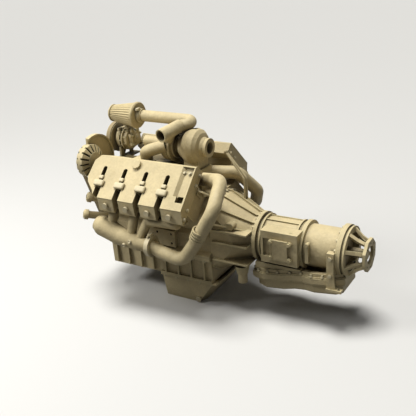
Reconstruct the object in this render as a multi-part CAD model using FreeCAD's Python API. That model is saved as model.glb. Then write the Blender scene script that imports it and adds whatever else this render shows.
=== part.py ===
import FreeCAD, Part
import math
import os

# Turbocharged V8 engine with its automatic gearbox. Millimetres. The origin is the centre of the tail
# flange face on the crankshaft axis, +X points to the rear, +Y to the right-hand bank and +Z up.

# ---- Cylinders and crankshaft ----
bore = 103.0
stroke = 99.0
bore_pitch = 118.0
cylinders_per_bank = 4
bank_angle = 45.0               # each bank leans this far from upright
bank_stagger = 26.0             # the right bank sits this far forward
deck_height = 235.0             # crank axis to deck face, along the bore
rod_length = 150.0              # fixes where each piston stands on its stroke
throw_angles = (0.0, 90.0, 270.0, 180.0)
main_journal_radius = 38.0
pin_radius = 27.0
pin_width = 54.0
main_width = 26.0
bulkhead_width = 24.0
bearing_wall = 2.5
web_reach = 79.5                # largest sweep of the crankshaft
crankcase_radius = 88.0
nose_radius = 20.0
running_clearance = 0.04        # journal in its bearing, each side
gap = 0.4                       # free air beside a moving face
crank_flange_radius = 44.0
rear_seal_radius = crank_flange_radius + gap
cap_half_width = 72.0           # main bearing caps
cap_height = 66.0
piston_crown_height = 35.0      # wrist pin to crown
piston_skirt_depth = 19.0       # wrist pin to skirt edge
piston_clearance = 0.05
wrist_pin_radius = 12.0

# ---- Lengths along the crank axis, from the tail flange forward ----
tail_cage_length = 110.0
rear_case_length = 173.0
main_case_length = 225.0
bell_length = 208.0
rear_cylinder_setback = 87.0    # block rear face to the rear left cylinder
front_cylinder_margin = 73.0    # front right cylinder to the block front face
timing_case_depth = 60.0
belt_setout = 85.0              # timing case front to the belt plane
belt_width = 26.0

x_ring_c = -tail_cage_length
x_ring_b = x_ring_c - rear_case_length
x_ring_a = x_ring_b - main_case_length
x_block_rear = x_ring_a - bell_length
x_rear_cylinder = x_block_rear - rear_cylinder_setback
bank_length = bore_pitch * (cylinders_per_bank - 1)
x_block_front = x_rear_cylinder - bank_length - bank_stagger - front_cylinder_margin
x_timing_front = x_block_front - timing_case_depth
x_belt = x_timing_front - belt_setout

# ---- Block, heads and covers ----
deck_half_inner = 62.0          # deck edge on the valley side of the bore axis
deck_half_outer = 66.0          # deck edge on the outer side
bore_foot = 80.0                # lowest point of a cylinder bore, along the bore
skirt_half_width = 140.0
rail_half_width = 165.0
rail_height = -95.0             # the block's bottom face
rail_thickness = 15.0
valley_floor = 197.0
gasket_thickness = 1.5
head_height = 93.5
head_rear_margin = 66.0
head_front_margin = 73.0
cover_height = 64.0
cover_wall = 6.0
cover_washer_radius = 17.0
cover_floor = 20.0              # floor of the cover's slots above the head face
slot_width = 22.0
channel_width = 32.0
port_height = 285.0             # exhaust port centre, along the bore
port_flange_reach = 80.0        # port flange face, outward of the bore axis
head_foot = deck_height + gasket_thickness
head_top = head_foot + head_height
cover_top = head_top + cover_height
head_rear = x_rear_cylinder + head_rear_margin
head_front = x_rear_cylinder - bank_length - head_front_margin
engine_mount_x = -960.0
mount_face = 168.0              # engine mount pads, out from the middle plane
mount_hole_length = 80.0
mount_hole_height = 48.0
mount_hole_z = -20.0
mount_hole_depth = 24.0
mount_hole_radius = 6.0

# ---- Oil pans ----
upper_pan_floor = -225.0
pan_wall = 6.0
sump_floor = -347.0
sump_half_width = 150.0
sump_front = -1005.0
sump_rear = -779.0

# ---- Timing drive ----
gear_module = 5.0
crank_gear_teeth = 21
cam_gear_teeth = 42
gear_width = 26.0
gear_backlash = 0.5
pressure_angle = 20.0
cam_height = gear_module * (crank_gear_teeth + cam_gear_teeth) / 2.0
cam_tunnel_radius = 26.0
cam_lobe_lift = 7.0
cam_base_radius = 17.0
cam_nose_radius = 14.0
x_gear_rear = x_block_front - 6.0

# ---- Belt drive, seen along the crank axis: (y, z, radius) ----
crank_pulley = (0.0, 0.0, 84.0)
alternator_pulley = (-172.0, 326.0, 32.0)
water_pulley = (-8.0, 205.0, 60.0)
compressor_pulley = (110.0, 364.0, 74.0)
tension_pulley = (128.0, 160.0, 38.0)
belt_thickness = 6.0
pulley_wall = 7.0
pulley_hub_radius = 17.0
tensioner_pivot = (88.0, 232.0)
tensioner_arm_radius = 14.0
tensioner_pin_radius = 8.0
pulley_width = belt_width + 4.0
accessory_shaft_radius = 8.0
bracket_thickness = 12.0
bracket_front = x_belt + 22.0
bracket_arch = (-119.0, 309.0, 132.0)   # y, z and radius of the plate's arch
shelf_top = 274.0
alternator_front = x_belt + 16.0
alternator_length = 62.0
alternator_radius = 80.0
slot_count = 16                 # vents round each end of the alternator
pump_radius = 44.0
compressor_body_radius = 62.0
compressor_body_front = x_belt + 30.0
compressor_body_length = 72.0

# ---- Turbocharger ----
turbo_height = 400.0
turbine_centre = -855.0
turbine_radius = 88.0
outlet_radius = 27.5            # bore of the turbine outlet
outlet_rim_radius = 45.0
outlet_face = -774.0
outlet_bore_start = -814.0
turbine_wheel_radius = 52.0
compressor_centre = -985.0
compressor_radius = 84.0
compressor_wheel_radius = 50.0
turbo_shaft_radius = 9.0
blade_thickness = 2.4
bearing_front = -951.0
bearing_rear = turbine_centre - 48.0
compressor_back = bearing_front
compressor_front = -1034.0
inlet_front = -1136.0
inlet_bore = 23.0
charge_outlet_bore = 25.0
charge_outlet_radius = 31.0
charge_bore_length = 92.0
charge_outlet_face = FreeCAD.Vector(-941.0, -150.0, turbo_height + 84.0)
charge_outlet_root = FreeCAD.Vector(-916.0, -22.0, turbo_height + 100.0)
pedestal_half_width = 52.0
pedestal_front = -925.0
pedestal_rear = -800.0
pedestal_top = turbo_height - 100.0
pedestal_port = FreeCAD.Vector(-842.0, -pedestal_half_width, pedestal_top - 42.0)

# ---- Intake and exhaust pipes ----
intake_radius = 28.0
pipe_wall = 3.0
up_pipe_radius = 31.0
log_distance = 310.0            # exhaust log axis from the engine's middle plane
log_stations = (                # x, height and radius along the log
    (-1244.0, 70.0, 36.0), (-1206.0, 58.0, 50.0), (-1114.0, 24.0, 45.0), (-999.0, 6.0, 37.0),
    (-946.0, 4.0, 31.0))
log_end = log_stations[-1]
runner_radius = 23.0
clamp_flange_radius = 44.0
clamp_width = 22.0
up_pipe_start = FreeCAD.Vector(log_end[0] + clamp_width / 2.0, -log_distance, log_end[1])
bellows_foot = FreeCAD.Vector(-688.0, -302.0, 78.0)
bellows_head = FreeCAD.Vector(-660.0, -300.0, 138.0)
intake_elbow = FreeCAD.Vector(-808.0, 52.0, turbo_height + 108.0)
filter_centre = FreeCAD.Vector(0.0, 55.0, turbo_height + 107.0)
filter_front = -1372.0
filter_rear = -1206.0
filter_front_radius = 43.0
filter_rear_radius = 65.0
pleat_count = 30
duct_radius = 30.0
plenum_top = turbo_height - 82.0
plenum_half_width = 96.0
plenum_front = -1190.0
plenum_rear = -940.0

# ---- Gearbox ----
bell_mouth_radius = 188.0
bell_neck_radius = 108.0
case_wall = 9.0
ring_a_radius = 118.0
main_case_radius = 100.0
ring_b_radius = 112.0
rear_case_radius = 96.0
ring_c_radius = 120.0
flange_thickness = 9.0
tail_flange_radius = 76.0
tail_flange_bore = 41.5
tail_flange_thickness = 14.0
tail_bolt_circle = 58.0
tail_bolt_radius = 5.5
tail_bolt_count = 8
strut_count = 8
strut_width = 17.0
output_shaft_radius = 21.0
bell_fin_reach = 156.0
bell_half_width = 142.0
pump_bore_radius = 30.0
pump_hub_radius = pump_bore_radius - gap
side_pad_reach = 130.0
pad_x = (x_ring_a + 46.0, x_ring_b - 2.0)
pad_z = (-62.0, 92.0)
pan_tilt = -6.2
pan_hinge = FreeCAD.Vector(x_ring_a - 20.0, 0.0, -118.0)
bracket_rear = x_ring_c - flange_thickness
bracket_depth = 32.0
bracket_foot = -143.0
bracket_foot_height = 12.0
bracket_hole_radius = 6.0
bracket_hole_spread = 246.0
bracket_hole_x = x_ring_c + 14.0
lever_shaft_radius = 7.0
lever_pivot = FreeCAD.Vector(x_ring_b - 70.0, 104.0, -30.0)
gauge_tube_top = FreeCAD.Vector(-724.0, 60.0, 368.0)

ORIGIN = FreeCAD.Vector(0, 0, 0)
AXIS_X = FreeCAD.Vector(1, 0, 0)
AXIS_Y = FreeCAD.Vector(0, 1, 0)
AXIS_Z = FreeCAD.Vector(0, 0, 1)
slope = math.cos(math.radians(bank_angle))


def vec(x, y, z):
    return FreeCAD.Vector(x, y, z)


def cylinder_x(radius, x_start, x_end, y=0.0, z=0.0):
    return Part.makeCylinder(radius, x_end - x_start, vec(x_start, y, z), AXIS_X)


def ring_x(outer, inner, x_start, x_end, y=0.0, z=0.0):
    return cylinder_x(outer, x_start, x_end, y, z).cut(cylinder_x(inner, x_start, x_end, y, z))


def cylinder_between(start, end, radius):
    return Part.makeCylinder(radius, (end - start).Length, start, end - start)


def cone_between(start, end, start_radius, end_radius):
    return Part.makeCone(start_radius, end_radius, (end - start).Length, start, end - start)


def block_between(x_range, y_range, z_range):
    size = [high - low for low, high in (x_range, y_range, z_range)]
    return Part.makeBox(*size, vec(x_range[0], y_range[0], z_range[0]))


def sorted_range(side, near, far):
    return tuple(sorted((side * near, side * far)))


def ring_z(outer, inner, foot, height):
    return Part.makeCylinder(outer, height, foot, AXIS_Z).cut(Part.makeCylinder(inner, height, foot, AXIS_Z))


def polygon_face(points):
    return Part.Face(Part.makePolygon(points + points[:1]))


def prism_x(outline, x_start, x_end):
    face = polygon_face([vec(x_start, y, z) for y, z in outline])
    return face.extrude(vec(x_end - x_start, 0, 0))


def prism_y(outline, y_start, y_end):
    face = polygon_face([vec(x, y_start, z) for x, z in outline])
    return face.extrude(vec(0, y_end - y_start, 0))


def prism_z(outline, z_start, z_end):
    face = polygon_face([vec(x, y, z_start) for x, y in outline])
    return face.extrude(vec(0, 0, z_end - z_start))


def mirrored_outline(half):
    """Close an outline of (y, z) points, given down the left side, with its mirror image."""
    return half + [(-y, z) for y, z in reversed(half)]


def turned_x(outline, y=0.0, z=0.0):
    """Turn an outline of (x, radius) points about a line along X."""
    face = polygon_face([vec(x, y, z + radius) for x, radius in outline])
    return face.revolve(vec(0, y, z), AXIS_X, 360)


def joined(shapes):
    return shapes[0].fuse(shapes[1:]).removeSplitter()


def cut_all(shape, tools):
    return shape.cut(Part.makeCompound(tools))


def turned_copy(shape, centre, axis, angle):
    copy = shape.copy()
    copy.rotate(centre, axis, angle)
    return copy


def moved(shape, offset):
    copy = shape.copy()
    copy.translate(offset)
    return copy


def pattern_about_x(shape, count, y=0.0, z=0.0, first=0.0):
    centre = vec(0, y, z)
    return [turned_copy(shape, centre, AXIS_X, first + 360.0 * k / count) for k in range(count)]


def on_left_bank(shape):
    """Lean a shape drawn upright (bore axis on Z, valley side +Y) over to the left bank."""
    return turned_copy(shape, ORIGIN, AXIS_X, bank_angle)


def on_right_bank(shape):
    return moved(on_left_bank(shape).mirror(ORIGIN, AXIS_Y), vec(-bank_stagger, 0, 0))


def bank_point(x, height, outward, side=-1):
    """A point from its height along the bore and its distance outward of the bore axis."""
    stagger = bank_stagger if side > 0 else 0.0
    return vec(x - stagger, side * (height + outward) * slope, (height - outward) * slope)


def left_cylinder_x(index):
    return x_rear_cylinder - bore_pitch * index


def pin_x(index):
    return left_cylinder_x(index) - bank_stagger / 2.0


def main_x(index):
    return pin_x(0) + bore_pitch / 2.0 - bore_pitch * index


def swept_tube(points, bends, outer, inner):
    """A round tube along straight runs joined by tangent arcs; bends holds one radius per corner."""
    solid = swept_rod(points, bends, outer)
    if inner > 0:
        solid = solid.cut(swept_rod(points, bends, inner))
    return solid


def swept_rod(points, bends, radius):
    pieces = []
    start = points[0]
    for corner, following, bend in zip(points[1:-1], points[2:], bends):
        arriving = (corner - start).normalize()
        leaving = (following - corner).normalize()
        turn = arriving.getAngle(leaving)
        setback = bend * math.tan(turn / 2.0)
        arc_start = corner - arriving * setback
        arc_end = corner + leaving * setback
        axis = arriving.cross(leaving)
        inward = axis.cross(arriving).normalize()
        section = Part.Face(Part.Wire(Part.makeCircle(radius, arc_start, arriving)))
        pieces.append(cylinder_between(start, arc_start, radius))
        pieces.append(section.revolve(arc_start + inward * bend, axis, math.degrees(turn)))
        start = arc_end
    pieces.append(cylinder_between(start, points[-1], radius))
    return joined(pieces)


def hex_bolt(start, direction, radius, height):
    """A hexagon bolt head that stands on the point start."""
    corner_radius = radius / math.cos(math.pi / 6.0)
    hexagon = [vec(corner_radius * math.cos(math.pi * k / 3.0),
                   corner_radius * math.sin(math.pi * k / 3.0), 0) for k in range(6)]
    head = polygon_face(hexagon).extrude(vec(0, 0, height))
    head.Placement = FreeCAD.Placement(start, FreeCAD.Rotation(AXIS_Z, direction))
    return head


# ---- Block and bottom end ----

deck_inner_point = bank_point(0, deck_height, -deck_half_inner)
deck_outer_point = bank_point(0, deck_height, deck_half_outer)
barrel_foot_point = bank_point(0, 112.0, deck_half_outer)


def engine_block():
    valley_edge = deck_inner_point.z - valley_floor
    half = [(deck_inner_point.y + valley_edge, valley_floor),
            (deck_inner_point.y, deck_inner_point.z),
            (deck_outer_point.y, deck_outer_point.z),
            (barrel_foot_point.y, barrel_foot_point.z),
            (-skirt_half_width, 10.0),
            (-skirt_half_width, rail_height + 2 * rail_thickness),
            (-rail_half_width, rail_height + rail_thickness),
            (-rail_half_width, rail_height)]
    block = prism_x(mirrored_outline(half), x_block_front, x_block_rear)
    mount_pads = [block_between((engine_mount_x - 60, engine_mount_x + 60),
                                sorted_range(side, 115.0, mount_face),
                                (-62.0, 22.0)) for side in (-1, 1)]
    block = joined([block] + mount_pads)
    hollows = []
    for index in range(cylinders_per_bank):
        bay = (main_x(index + 1) + bulkhead_width / 2.0, main_x(index) - bulkhead_width / 2.0)
        hollows.append(cylinder_x(crankcase_radius, *bay))
        hollows.append(block_between(bay, (-120.0, 120.0), (rail_height, -20.0)))
    window_front = main_x(cylinders_per_bank) - bulkhead_width / 2.0
    window_rear = main_x(0) + bulkhead_width / 2.0
    hollows.append(block_between((window_front, window_rear), (-120.0, 120.0), (rail_height, 0.0)))
    hollows.append(cylinder_x(main_journal_radius + bearing_wall, window_front - 1.0 - gap, window_rear))
    hollows.append(cylinder_x(nose_radius + gap, x_block_front, window_front))
    hollows.append(cylinder_x(rear_seal_radius, window_rear, x_block_rear))
    hollows.append(cylinder_x(cam_tunnel_radius, x_block_front, window_rear, 0.0, cam_height))
    for index in range(cylinders_per_bank):
        bore_tool = Part.makeCylinder(bore / 2.0, deck_height - bore_foot,
                                      vec(left_cylinder_x(index), 0, bore_foot), AXIS_Z)
        hollows.append(on_left_bank(bore_tool))
        hollows.append(on_right_bank(bore_tool))
    for x in (engine_mount_x - mount_hole_length / 2, engine_mount_x + mount_hole_length / 2):
        for z in (mount_hole_z - mount_hole_height / 2, mount_hole_z + mount_hole_height / 2):
            for side in (-1, 1):
                hole_foot = vec(x, side * (mount_face - mount_hole_depth), z)
                hollows.append(cylinder_between(hole_foot, vec(x, side * mount_face, z), mount_hole_radius))
    return cut_all(block, hollows)


def main_bearing_caps():
    """Five caps bolted up under the bulkheads, each with its two bolts."""
    caps = []
    for index in range(cylinders_per_bank + 1):
        span = (main_x(index) - bulkhead_width / 2.0, main_x(index) + bulkhead_width / 2.0)
        outline = [(-cap_half_width, 0.0), (-cap_half_width, -38.0), (-36.0, -cap_height),
                   (36.0, -cap_height), (cap_half_width, -38.0), (cap_half_width, 0.0)]
        cap = prism_x(outline, *span).cut(cylinder_x(main_journal_radius + bearing_wall, *span))
        caps.append(cap)
        for side in (-1, 1):
            caps.append(hex_bolt(vec(main_x(index), side * 56.0, -52.0), vec(0, 0, -1), 8.0, 9.0))
    return Part.makeCompound(caps)


def main_bearings():
    shells = []
    for index in range(cylinders_per_bank + 1):
        span = (main_x(index) - bulkhead_width / 2.0, main_x(index) + bulkhead_width / 2.0)
        shells.append(ring_x(main_journal_radius + bearing_wall, main_journal_radius + running_clearance,
                             *span))
    return Part.makeCompound(shells)


def crank_web(x_start, x_end, angle):
    """One web with its counterweight, for a throw pointing at +Z turned by angle."""
    arm = [(-34.0, -10.0), (-27.0, stroke / 2.0), (27.0, stroke / 2.0), (34.0, -10.0)]
    web = joined([prism_x(arm, x_start, x_end),
                  cylinder_x(web_reach - stroke / 2.0, x_start, x_end, 0.0, stroke / 2.0)])
    weight = cylinder_x(web_reach - 2.0, x_start, x_end)
    weight = weight.common(block_between((x_start, x_end), (-72.0, 72.0), (-90.0, 6.0)))
    return turned_copy(joined([web, weight]), ORIGIN, AXIS_X, angle)


def crankshaft():
    pieces = [cylinder_x(nose_radius, x_belt - 24.0, main_x(cylinders_per_bank) - main_width / 2.0)]
    pieces.append(cylinder_x(crank_flange_radius, main_x(0) + bulkhead_width / 2.0 + 1.0,
                             x_block_rear + 10.0))
    for index in range(cylinders_per_bank + 1):
        pieces.append(cylinder_x(main_journal_radius, main_x(index) - main_width / 2.0,
                                 main_x(index) + main_width / 2.0))
    for index, angle in enumerate(throw_angles):
        throw = turned_copy(cylinder_x(pin_radius, pin_x(index) - pin_width / 2.0,
                                       pin_x(index) + pin_width / 2.0,
                                       0.0, stroke / 2.0), ORIGIN, AXIS_X, angle)
        pieces.append(throw)
        pieces.append(crank_web(pin_x(index) + pin_width / 2.0, main_x(index) - main_width / 2.0, angle))
        pieces.append(crank_web(main_x(index + 1) + main_width / 2.0, pin_x(index) - pin_width / 2.0, angle))
    return joined(pieces)


def piston_pin_height(index, side):
    """Wrist pin height along the bore for this throw, from the crank and rod lengths."""
    phase = math.radians(throw_angles[index] + side * bank_angle)
    reach = stroke / 2.0 * math.sin(phase)
    return stroke / 2.0 * math.cos(phase) + math.sqrt(rod_length ** 2 - reach ** 2)


def piston(index, side):
    x = left_cylinder_x(index)
    radius = bore / 2.0 - piston_clearance
    pin_height = piston_pin_height(index, side)
    foot = pin_height - piston_skirt_depth
    crown = pin_height + piston_crown_height
    profile = [(0.0, foot), (radius, foot), (radius, crown - 14.0), (radius - 3.0, crown - 14.0),
               (radius - 3.0, crown - 10.0), (radius, crown - 10.0), (radius, crown), (24.0, crown),
               (18.0, crown - 5.0),
               (0.0, crown - 5.0)]
    body = polygon_face([vec(x + r, 0, h) for r, h in profile]).revolve(vec(x, 0, 0), AXIS_Z, 360)
    pocket = Part.makeCylinder(radius - 7.0, piston_skirt_depth + 12.0, vec(x, 0, foot), AXIS_Z)
    bosses = block_between((x - radius, x + radius), (-19.0, 19.0), (foot, crown))
    gudgeon = block_between((x - 15.0, x + 15.0), (-19.0, 19.0), (foot, pin_height + 12.0))
    pin_hole = cylinder_x(wrist_pin_radius + running_clearance, x - 44.0, x + 44.0, 0.0, pin_height)
    body = body.cut(pocket.cut(bosses)).cut(gudgeon).cut(pin_hole)
    pin = cylinder_x(wrist_pin_radius, x - 43.0, x + 43.0, 0.0, pin_height)
    place = on_left_bank if side < 0 else on_right_bank
    return place(Part.makeCompound([body, pin]))


# ---- Timing drive ----

def gear_outline(teeth, thinning):
    """Involute tooth flanks as a closed list of (y, z) points, with the first tooth on +Z."""
    pitch = gear_module * teeth / 2.0
    base = pitch * math.cos(math.radians(pressure_angle))
    tip = pitch + gear_module
    root = pitch - 1.25 * gear_module
    half_tooth = math.pi / (2.0 * teeth) - thinning / (2.0 * pitch)
    offset = half_tooth + math.tan(math.radians(pressure_angle)) - math.radians(pressure_angle)

    def flank_angle(radius):
        roll = math.acos(base / radius)
        return offset - (math.tan(roll) - roll)

    radii = [max(base * 1.001, root + 0.8), pitch, tip]
    outline = []
    for tooth in range(teeth):
        middle = 2.0 * math.pi * tooth / teeth
        rising = [(middle - flank_angle(radius), radius) for radius in radii]
        falling = [(middle + flank_angle(radius), radius) for radius in reversed(radii)]
        outline.append((rising[0][0], root))
        outline += rising + falling
        outline.append((falling[-1][0], root))
    return [(radius * math.sin(angle), radius * math.cos(angle)) for angle, radius in outline]


def timing_gear(teeth, bore_radius, height, turn):
    outline = [(y, height + z) for y, z in gear_outline(teeth, gear_backlash)]
    gear = prism_x(outline, x_gear_rear - gear_width, x_gear_rear)
    gear.rotate(vec(0, 0, height), AXIS_X, turn)
    return gear.cut(cylinder_x(bore_radius, x_gear_rear - gear_width, x_gear_rear, 0.0, height))


def crank_gear():
    return timing_gear(crank_gear_teeth, nose_radius, 0.0, 0.0)


def cam_gear():
    """The large gear, with lightening holes, turned so that a tooth gap faces the crank gear's tooth."""
    turn = 180.0 + 180.0 / cam_gear_teeth
    gear = timing_gear(cam_gear_teeth, cam_nose_radius, cam_height, turn)
    hole = cylinder_x(19.0, x_gear_rear - gear_width, x_gear_rear, 0.0, cam_height + 58.0)
    return cut_all(gear, pattern_about_x(hole, 6, 0.0, cam_height))


def camshaft():
    """Journals in the block's cam tunnel, two lobes for each cylinder, and a nose for its gear."""
    cam_rear = main_x(0) + bulkhead_width / 2.0 - 2.0
    pieces = [cylinder_x(cam_nose_radius, x_gear_rear - gear_width - 8.0, cam_rear, 0.0, cam_height)]
    for index in range(cylinders_per_bank + 1):
        pieces.append(cylinder_x(cam_tunnel_radius - running_clearance, main_x(index) - 12.0,
                                 main_x(index) + 12.0, 0.0, cam_height))
    for index in range(cylinders_per_bank):
        for lobe, station in enumerate((-36.0, -18.0, 18.0, 36.0)):
            angle = throw_angles[index] / 2.0 + 110.0 * (lobe % 2) + 90.0 * (lobe // 2)
            nose = cylinder_x(cam_base_radius, pin_x(index) + station - 6.0, pin_x(index) + station + 6.0,
                              0.0, cam_height + cam_lobe_lift)
            pieces.append(turned_copy(nose, vec(0, 0, cam_height), AXIS_X, angle))
    return joined(pieces)


def timing_cover():
    """A shell over the timing gears, with the crank seal hole."""
    half = [(-72.0, 284.0), (-122.0, 238.0), (-128.0, 60.0), (-128.0, rail_height)]
    cover = prism_x(mirrored_outline(half), x_timing_front, x_block_front)
    inner_half = [(-66.0, 276.0), (-114.0, 232.0), (-120.0, 60.0), (-120.0, rail_height + 8.0)]
    cavity = prism_x(mirrored_outline(inner_half), x_timing_front + 8.0, x_block_front)
    seal_boss = cylinder_x(46.0, x_timing_front - 10.0, x_timing_front + 8.0)
    seal_hole = cylinder_x(nose_radius + gap, x_timing_front - 10.0, x_timing_front + 8.0)
    rib = block_between((x_timing_front - 5.0, x_timing_front), (-4.0, 4.0), (64.0, 110.0))
    return joined([cover.cut(cavity), seal_boss] + pattern_about_x(rib, 6)).cut(seal_hole)


# ---- Heads, gaskets and valve covers, drawn upright: height on Z, valley side +Y ----

def head_gasket():
    sheet = block_between((head_front, head_rear), (-deck_half_outer, deck_half_inner),
                          (deck_height, head_foot))
    holes = [Part.makeCylinder(bore / 2.0, gasket_thickness, vec(left_cylinder_x(k), 0, deck_height), AXIS_Z)
             for k in range(cylinders_per_bank)]
    return cut_all(sheet, holes)


def cylinder_head():
    """One head: body, four exhaust port bosses, intake face on the valley side and end cover screws."""
    outline = [(-deck_half_outer, head_foot), (-78.0, head_foot + 22.0), (-78.0, head_top),
               (70.0, head_top), (deck_half_inner, head_foot + 20.0), (deck_half_inner, head_foot)]
    head = prism_x(outline, head_front, head_rear)
    chambers = [Part.makeCylinder(bore / 2.0 - 6.0, 8.0, vec(left_cylinder_x(k), 0, head_foot), AXIS_Z)
                for k in range(cylinders_per_bank)]
    flanges = []
    for k in range(cylinders_per_bank):
        x = left_cylinder_x(k)
        flanges.append(block_between((x - 36.0, x + 36.0), (-port_flange_reach, -76.0),
                                     (port_height - 24.0, port_height + 24.0)))
    return joined([cut_all(head, chambers)] + flanges)


def cover_section():
    """The cover's section across a finger: flat top, one step lip, then the slope to the outer edge."""
    return [(137.0, head_top), (137.0, cover_top - 8.0), (129.0, cover_top), (-86.0, cover_top),
            (-89.0, cover_top - 7.0), (-126.0, head_top + 12.0), (-126.0, head_top)]


def cover_plan():
    """The cover seen along the bore: a long front nose with clipped corners, square behind."""
    x0 = x_rear_cylinder
    return [(x0 + 66.0, 137.0), (x0 - 400.0, 137.0), (x0 - 463.0, 128.0), (x0 - 490.0, 98.0),
            (x0 - 495.0, 10.0),
            (x0 - 484.0, -14.0), (x0 - 440.0, -56.0), (x0 - 400.0, -126.0), (x0 + 66.0, -126.0)]


def valve_cover():
    """A cast cover with four fingers; each pair of fingers is parted by a slot and an open channel."""
    cover = prism_x(cover_section(), x_rear_cylinder - 500.0, x_rear_cylinder + 66.0)
    cover = cover.common(prism_z(cover_plan(), head_top, cover_top))
    floor = head_top + cover_floor
    cuts = []
    for k in range(cylinders_per_bank):
        x = left_cylinder_x(k) - bore_pitch / 2.0
        cuts.append(block_between((x - slot_width / 2, x + slot_width / 2), (-30.0, 64.0),
                                  (floor, cover_top)))
        cuts.append(Part.makeCylinder(slot_width / 2, cover_top - floor, vec(x, 64.0, floor), AXIS_Z))
        cuts.append(Part.makeCylinder(cover_washer_radius, 6.0, vec(x, -13.0, cover_top - 6.0), AXIS_Z))
        cuts.append(block_between((x - channel_width / 2, x + channel_width / 2), (-126.0, -30.0),
                                  (floor, cover_top)))
        cuts.append(block_between((x - channel_width / 2, x + channel_width / 2), (-126.0, -82.0),
                                  (head_top, cover_top)))
    rear_finger = x_rear_cylinder + 34.0
    bevel = [(rear_finger - 34.0, cover_top), (rear_finger - 18.0, cover_top - 14.0),
             (x_rear_cylinder + 60.0, cover_top - 14.0), (x_rear_cylinder + 60.0, cover_top)]
    cuts.append(prism_y(bevel, -20.0, 126.0))
    cuts.append(block_between((x_rear_cylinder + 20.0, x_rear_cylinder + 58.0), (-48.0, -14.0),
                              (floor + 8.0, cover_top)))
    cuts.append(block_between((head_front + cover_wall, x_rear_cylinder + 66.0 - cover_wall), (-68.0, 66.0),
                              (head_top, floor - cover_wall)))
    cuts.append(block_between((head_front + 30.0, x_rear_cylinder - 40.0), (84.0, 129.0),
                              (head_top, cover_top - 8.0 - cover_wall)))
    return cut_all(cover, cuts)


def cover_bolts():
    """For each cover, four washered bolts in the slots and four in the finger feet."""
    bolts = []
    for k in range(cylinders_per_bank):
        x = left_cylinder_x(k) - bore_pitch / 2.0
        y = -13.0
        pillar = Part.makeCylinder(9.0, cover_height - cover_floor - 6.0, vec(x, y, head_top + cover_floor),
                                   AXIS_Z)
        washer = Part.makeCylinder(cover_washer_radius, 8.0, vec(x, y, cover_top - 6.0), AXIS_Z)
        cap = Part.makeCylinder(13.0, 7.0, vec(x, y, cover_top + 2.0), AXIS_Z)
        crown = Part.makeCone(13.0, 8.0, 5.0, vec(x, y, cover_top + 9.0), AXIS_Z)
        bolts.append(joined([pillar, washer, cap, crown]))
        foot = vec(left_cylinder_x(k), -107.5, finger_height(107.5))
        bolts.append(Part.makeCylinder(13.5, 12.0, foot, finger_normal()))
    return Part.makeCompound(bolts)


def finger_height(outward):
    """Height of the finger's sloping face at this distance outward of the bore axis."""
    share = (outward - 89.0) / (126.0 - 89.0)
    return (cover_top - 7.0) + share * (head_top + 12.0 - cover_top + 7.0)


def finger_normal():
    drop = cover_top - 7.0 - head_top - 12.0
    return vec(0, -drop, 126.0 - 89.0).normalize()


def filler_neck_point():
    return vec(x_rear_cylinder - 243.0, 101.0, cover_top)


def filler_cap():
    """Screw cap of the oil filler, with finger flutes."""
    foot = filler_neck_point()
    cap = Part.makeCylinder(21.0, 13.0, foot, AXIS_Z)
    flute = Part.makeCylinder(3.0, 13.0, foot + vec(22.0, 0, 0), AXIS_Z)
    flutes = [turned_copy(flute, foot, AXIS_Z, 60.0 * k) for k in range(6)]
    return on_left_bank(cut_all(cap, flutes))


def lifting_eye():
    """A pierced pointed tab that reaches back from the left head's rear face."""
    foot = [(head_rear, head_top - 52.0), (head_rear, head_top - 6.0), (head_rear + 26.0, head_top - 14.0),
            (head_rear + 58.0, head_top - 46.0), (head_rear + 50.0, head_top - 56.0)]
    tab = prism_y(foot, 44.0, 52.0)
    pad = block_between((head_rear, head_rear + 6.0), (30.0, 62.0), (head_top - 52.0, head_top - 6.0))
    hole = Part.makeCylinder(8.0, 8.0, vec(head_rear + 27.0, 44.0, head_top - 36.0), AXIS_Y)
    return joined([tab, pad]).cut(hole)


# ---- Exhaust ----

def log_centre(x):
    """Height of the exhaust log's axis at a station, along its straight segments."""
    for (x0, z0, _), (x1, z1, _) in zip(log_stations[:-1], log_stations[1:]):
        if x0 <= x <= x1:
            return z0 + (z1 - z0) * (x - x0) / (x1 - x0)
    return log_stations[-1][1]


def exhaust_manifold():
    """A log that tapers to its outlet, four runners with port flanges, and the outlet flange."""
    pieces = []
    for (x0, z0, r0), (x1, z1, r1) in zip(log_stations[:-1], log_stations[1:]):
        pieces.append(cone_between(vec(x0, -log_distance, z0), vec(x1, -log_distance, z1), r0, r1))
        pieces.append(Part.makeSphere(r1, vec(x1, -log_distance, z1)))
    pieces.pop()
    for k in range(cylinders_per_bank):
        x = left_cylinder_x(k)
        port = bank_point(x, port_height, port_flange_reach + 1.0)
        knee = bank_point(x, port_height, port_flange_reach + 34.0)
        end_x = min(x - 14.0, log_end[0] - 60.0)
        pieces.append(cylinder_between(port, knee, 23.0))
        pieces.append(Part.makeSphere(23.0, knee))
        if end_x > x - bore_pitch * 0.4:
            turn = knee
        else:
            turn = vec(log_end[0] - 14.0, knee.y - 4.0, knee.z - 6.0)
        if (turn - knee).Length > 1.0:
            pieces.append(cylinder_between(knee, turn, 23.0))
            pieces.append(Part.makeSphere(23.0, turn))
            knee = turn
        pieces.append(cylinder_between(knee, vec(end_x, -log_distance, log_centre(end_x)), 23.0))
        flange = block_between((x - 36.0, x + 36.0), (-port_flange_reach - 11.0, -port_flange_reach),
                               (port_height - 24.0, port_height + 24.0))
        pieces.append(on_left_bank(flange))
    pieces.append(cylinder_x(clamp_flange_radius - 6.0, log_end[0] - 4.0, log_end[0] + clamp_width / 2.0,
                             -log_distance, log_end[1]))
    return joined(pieces)


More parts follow.
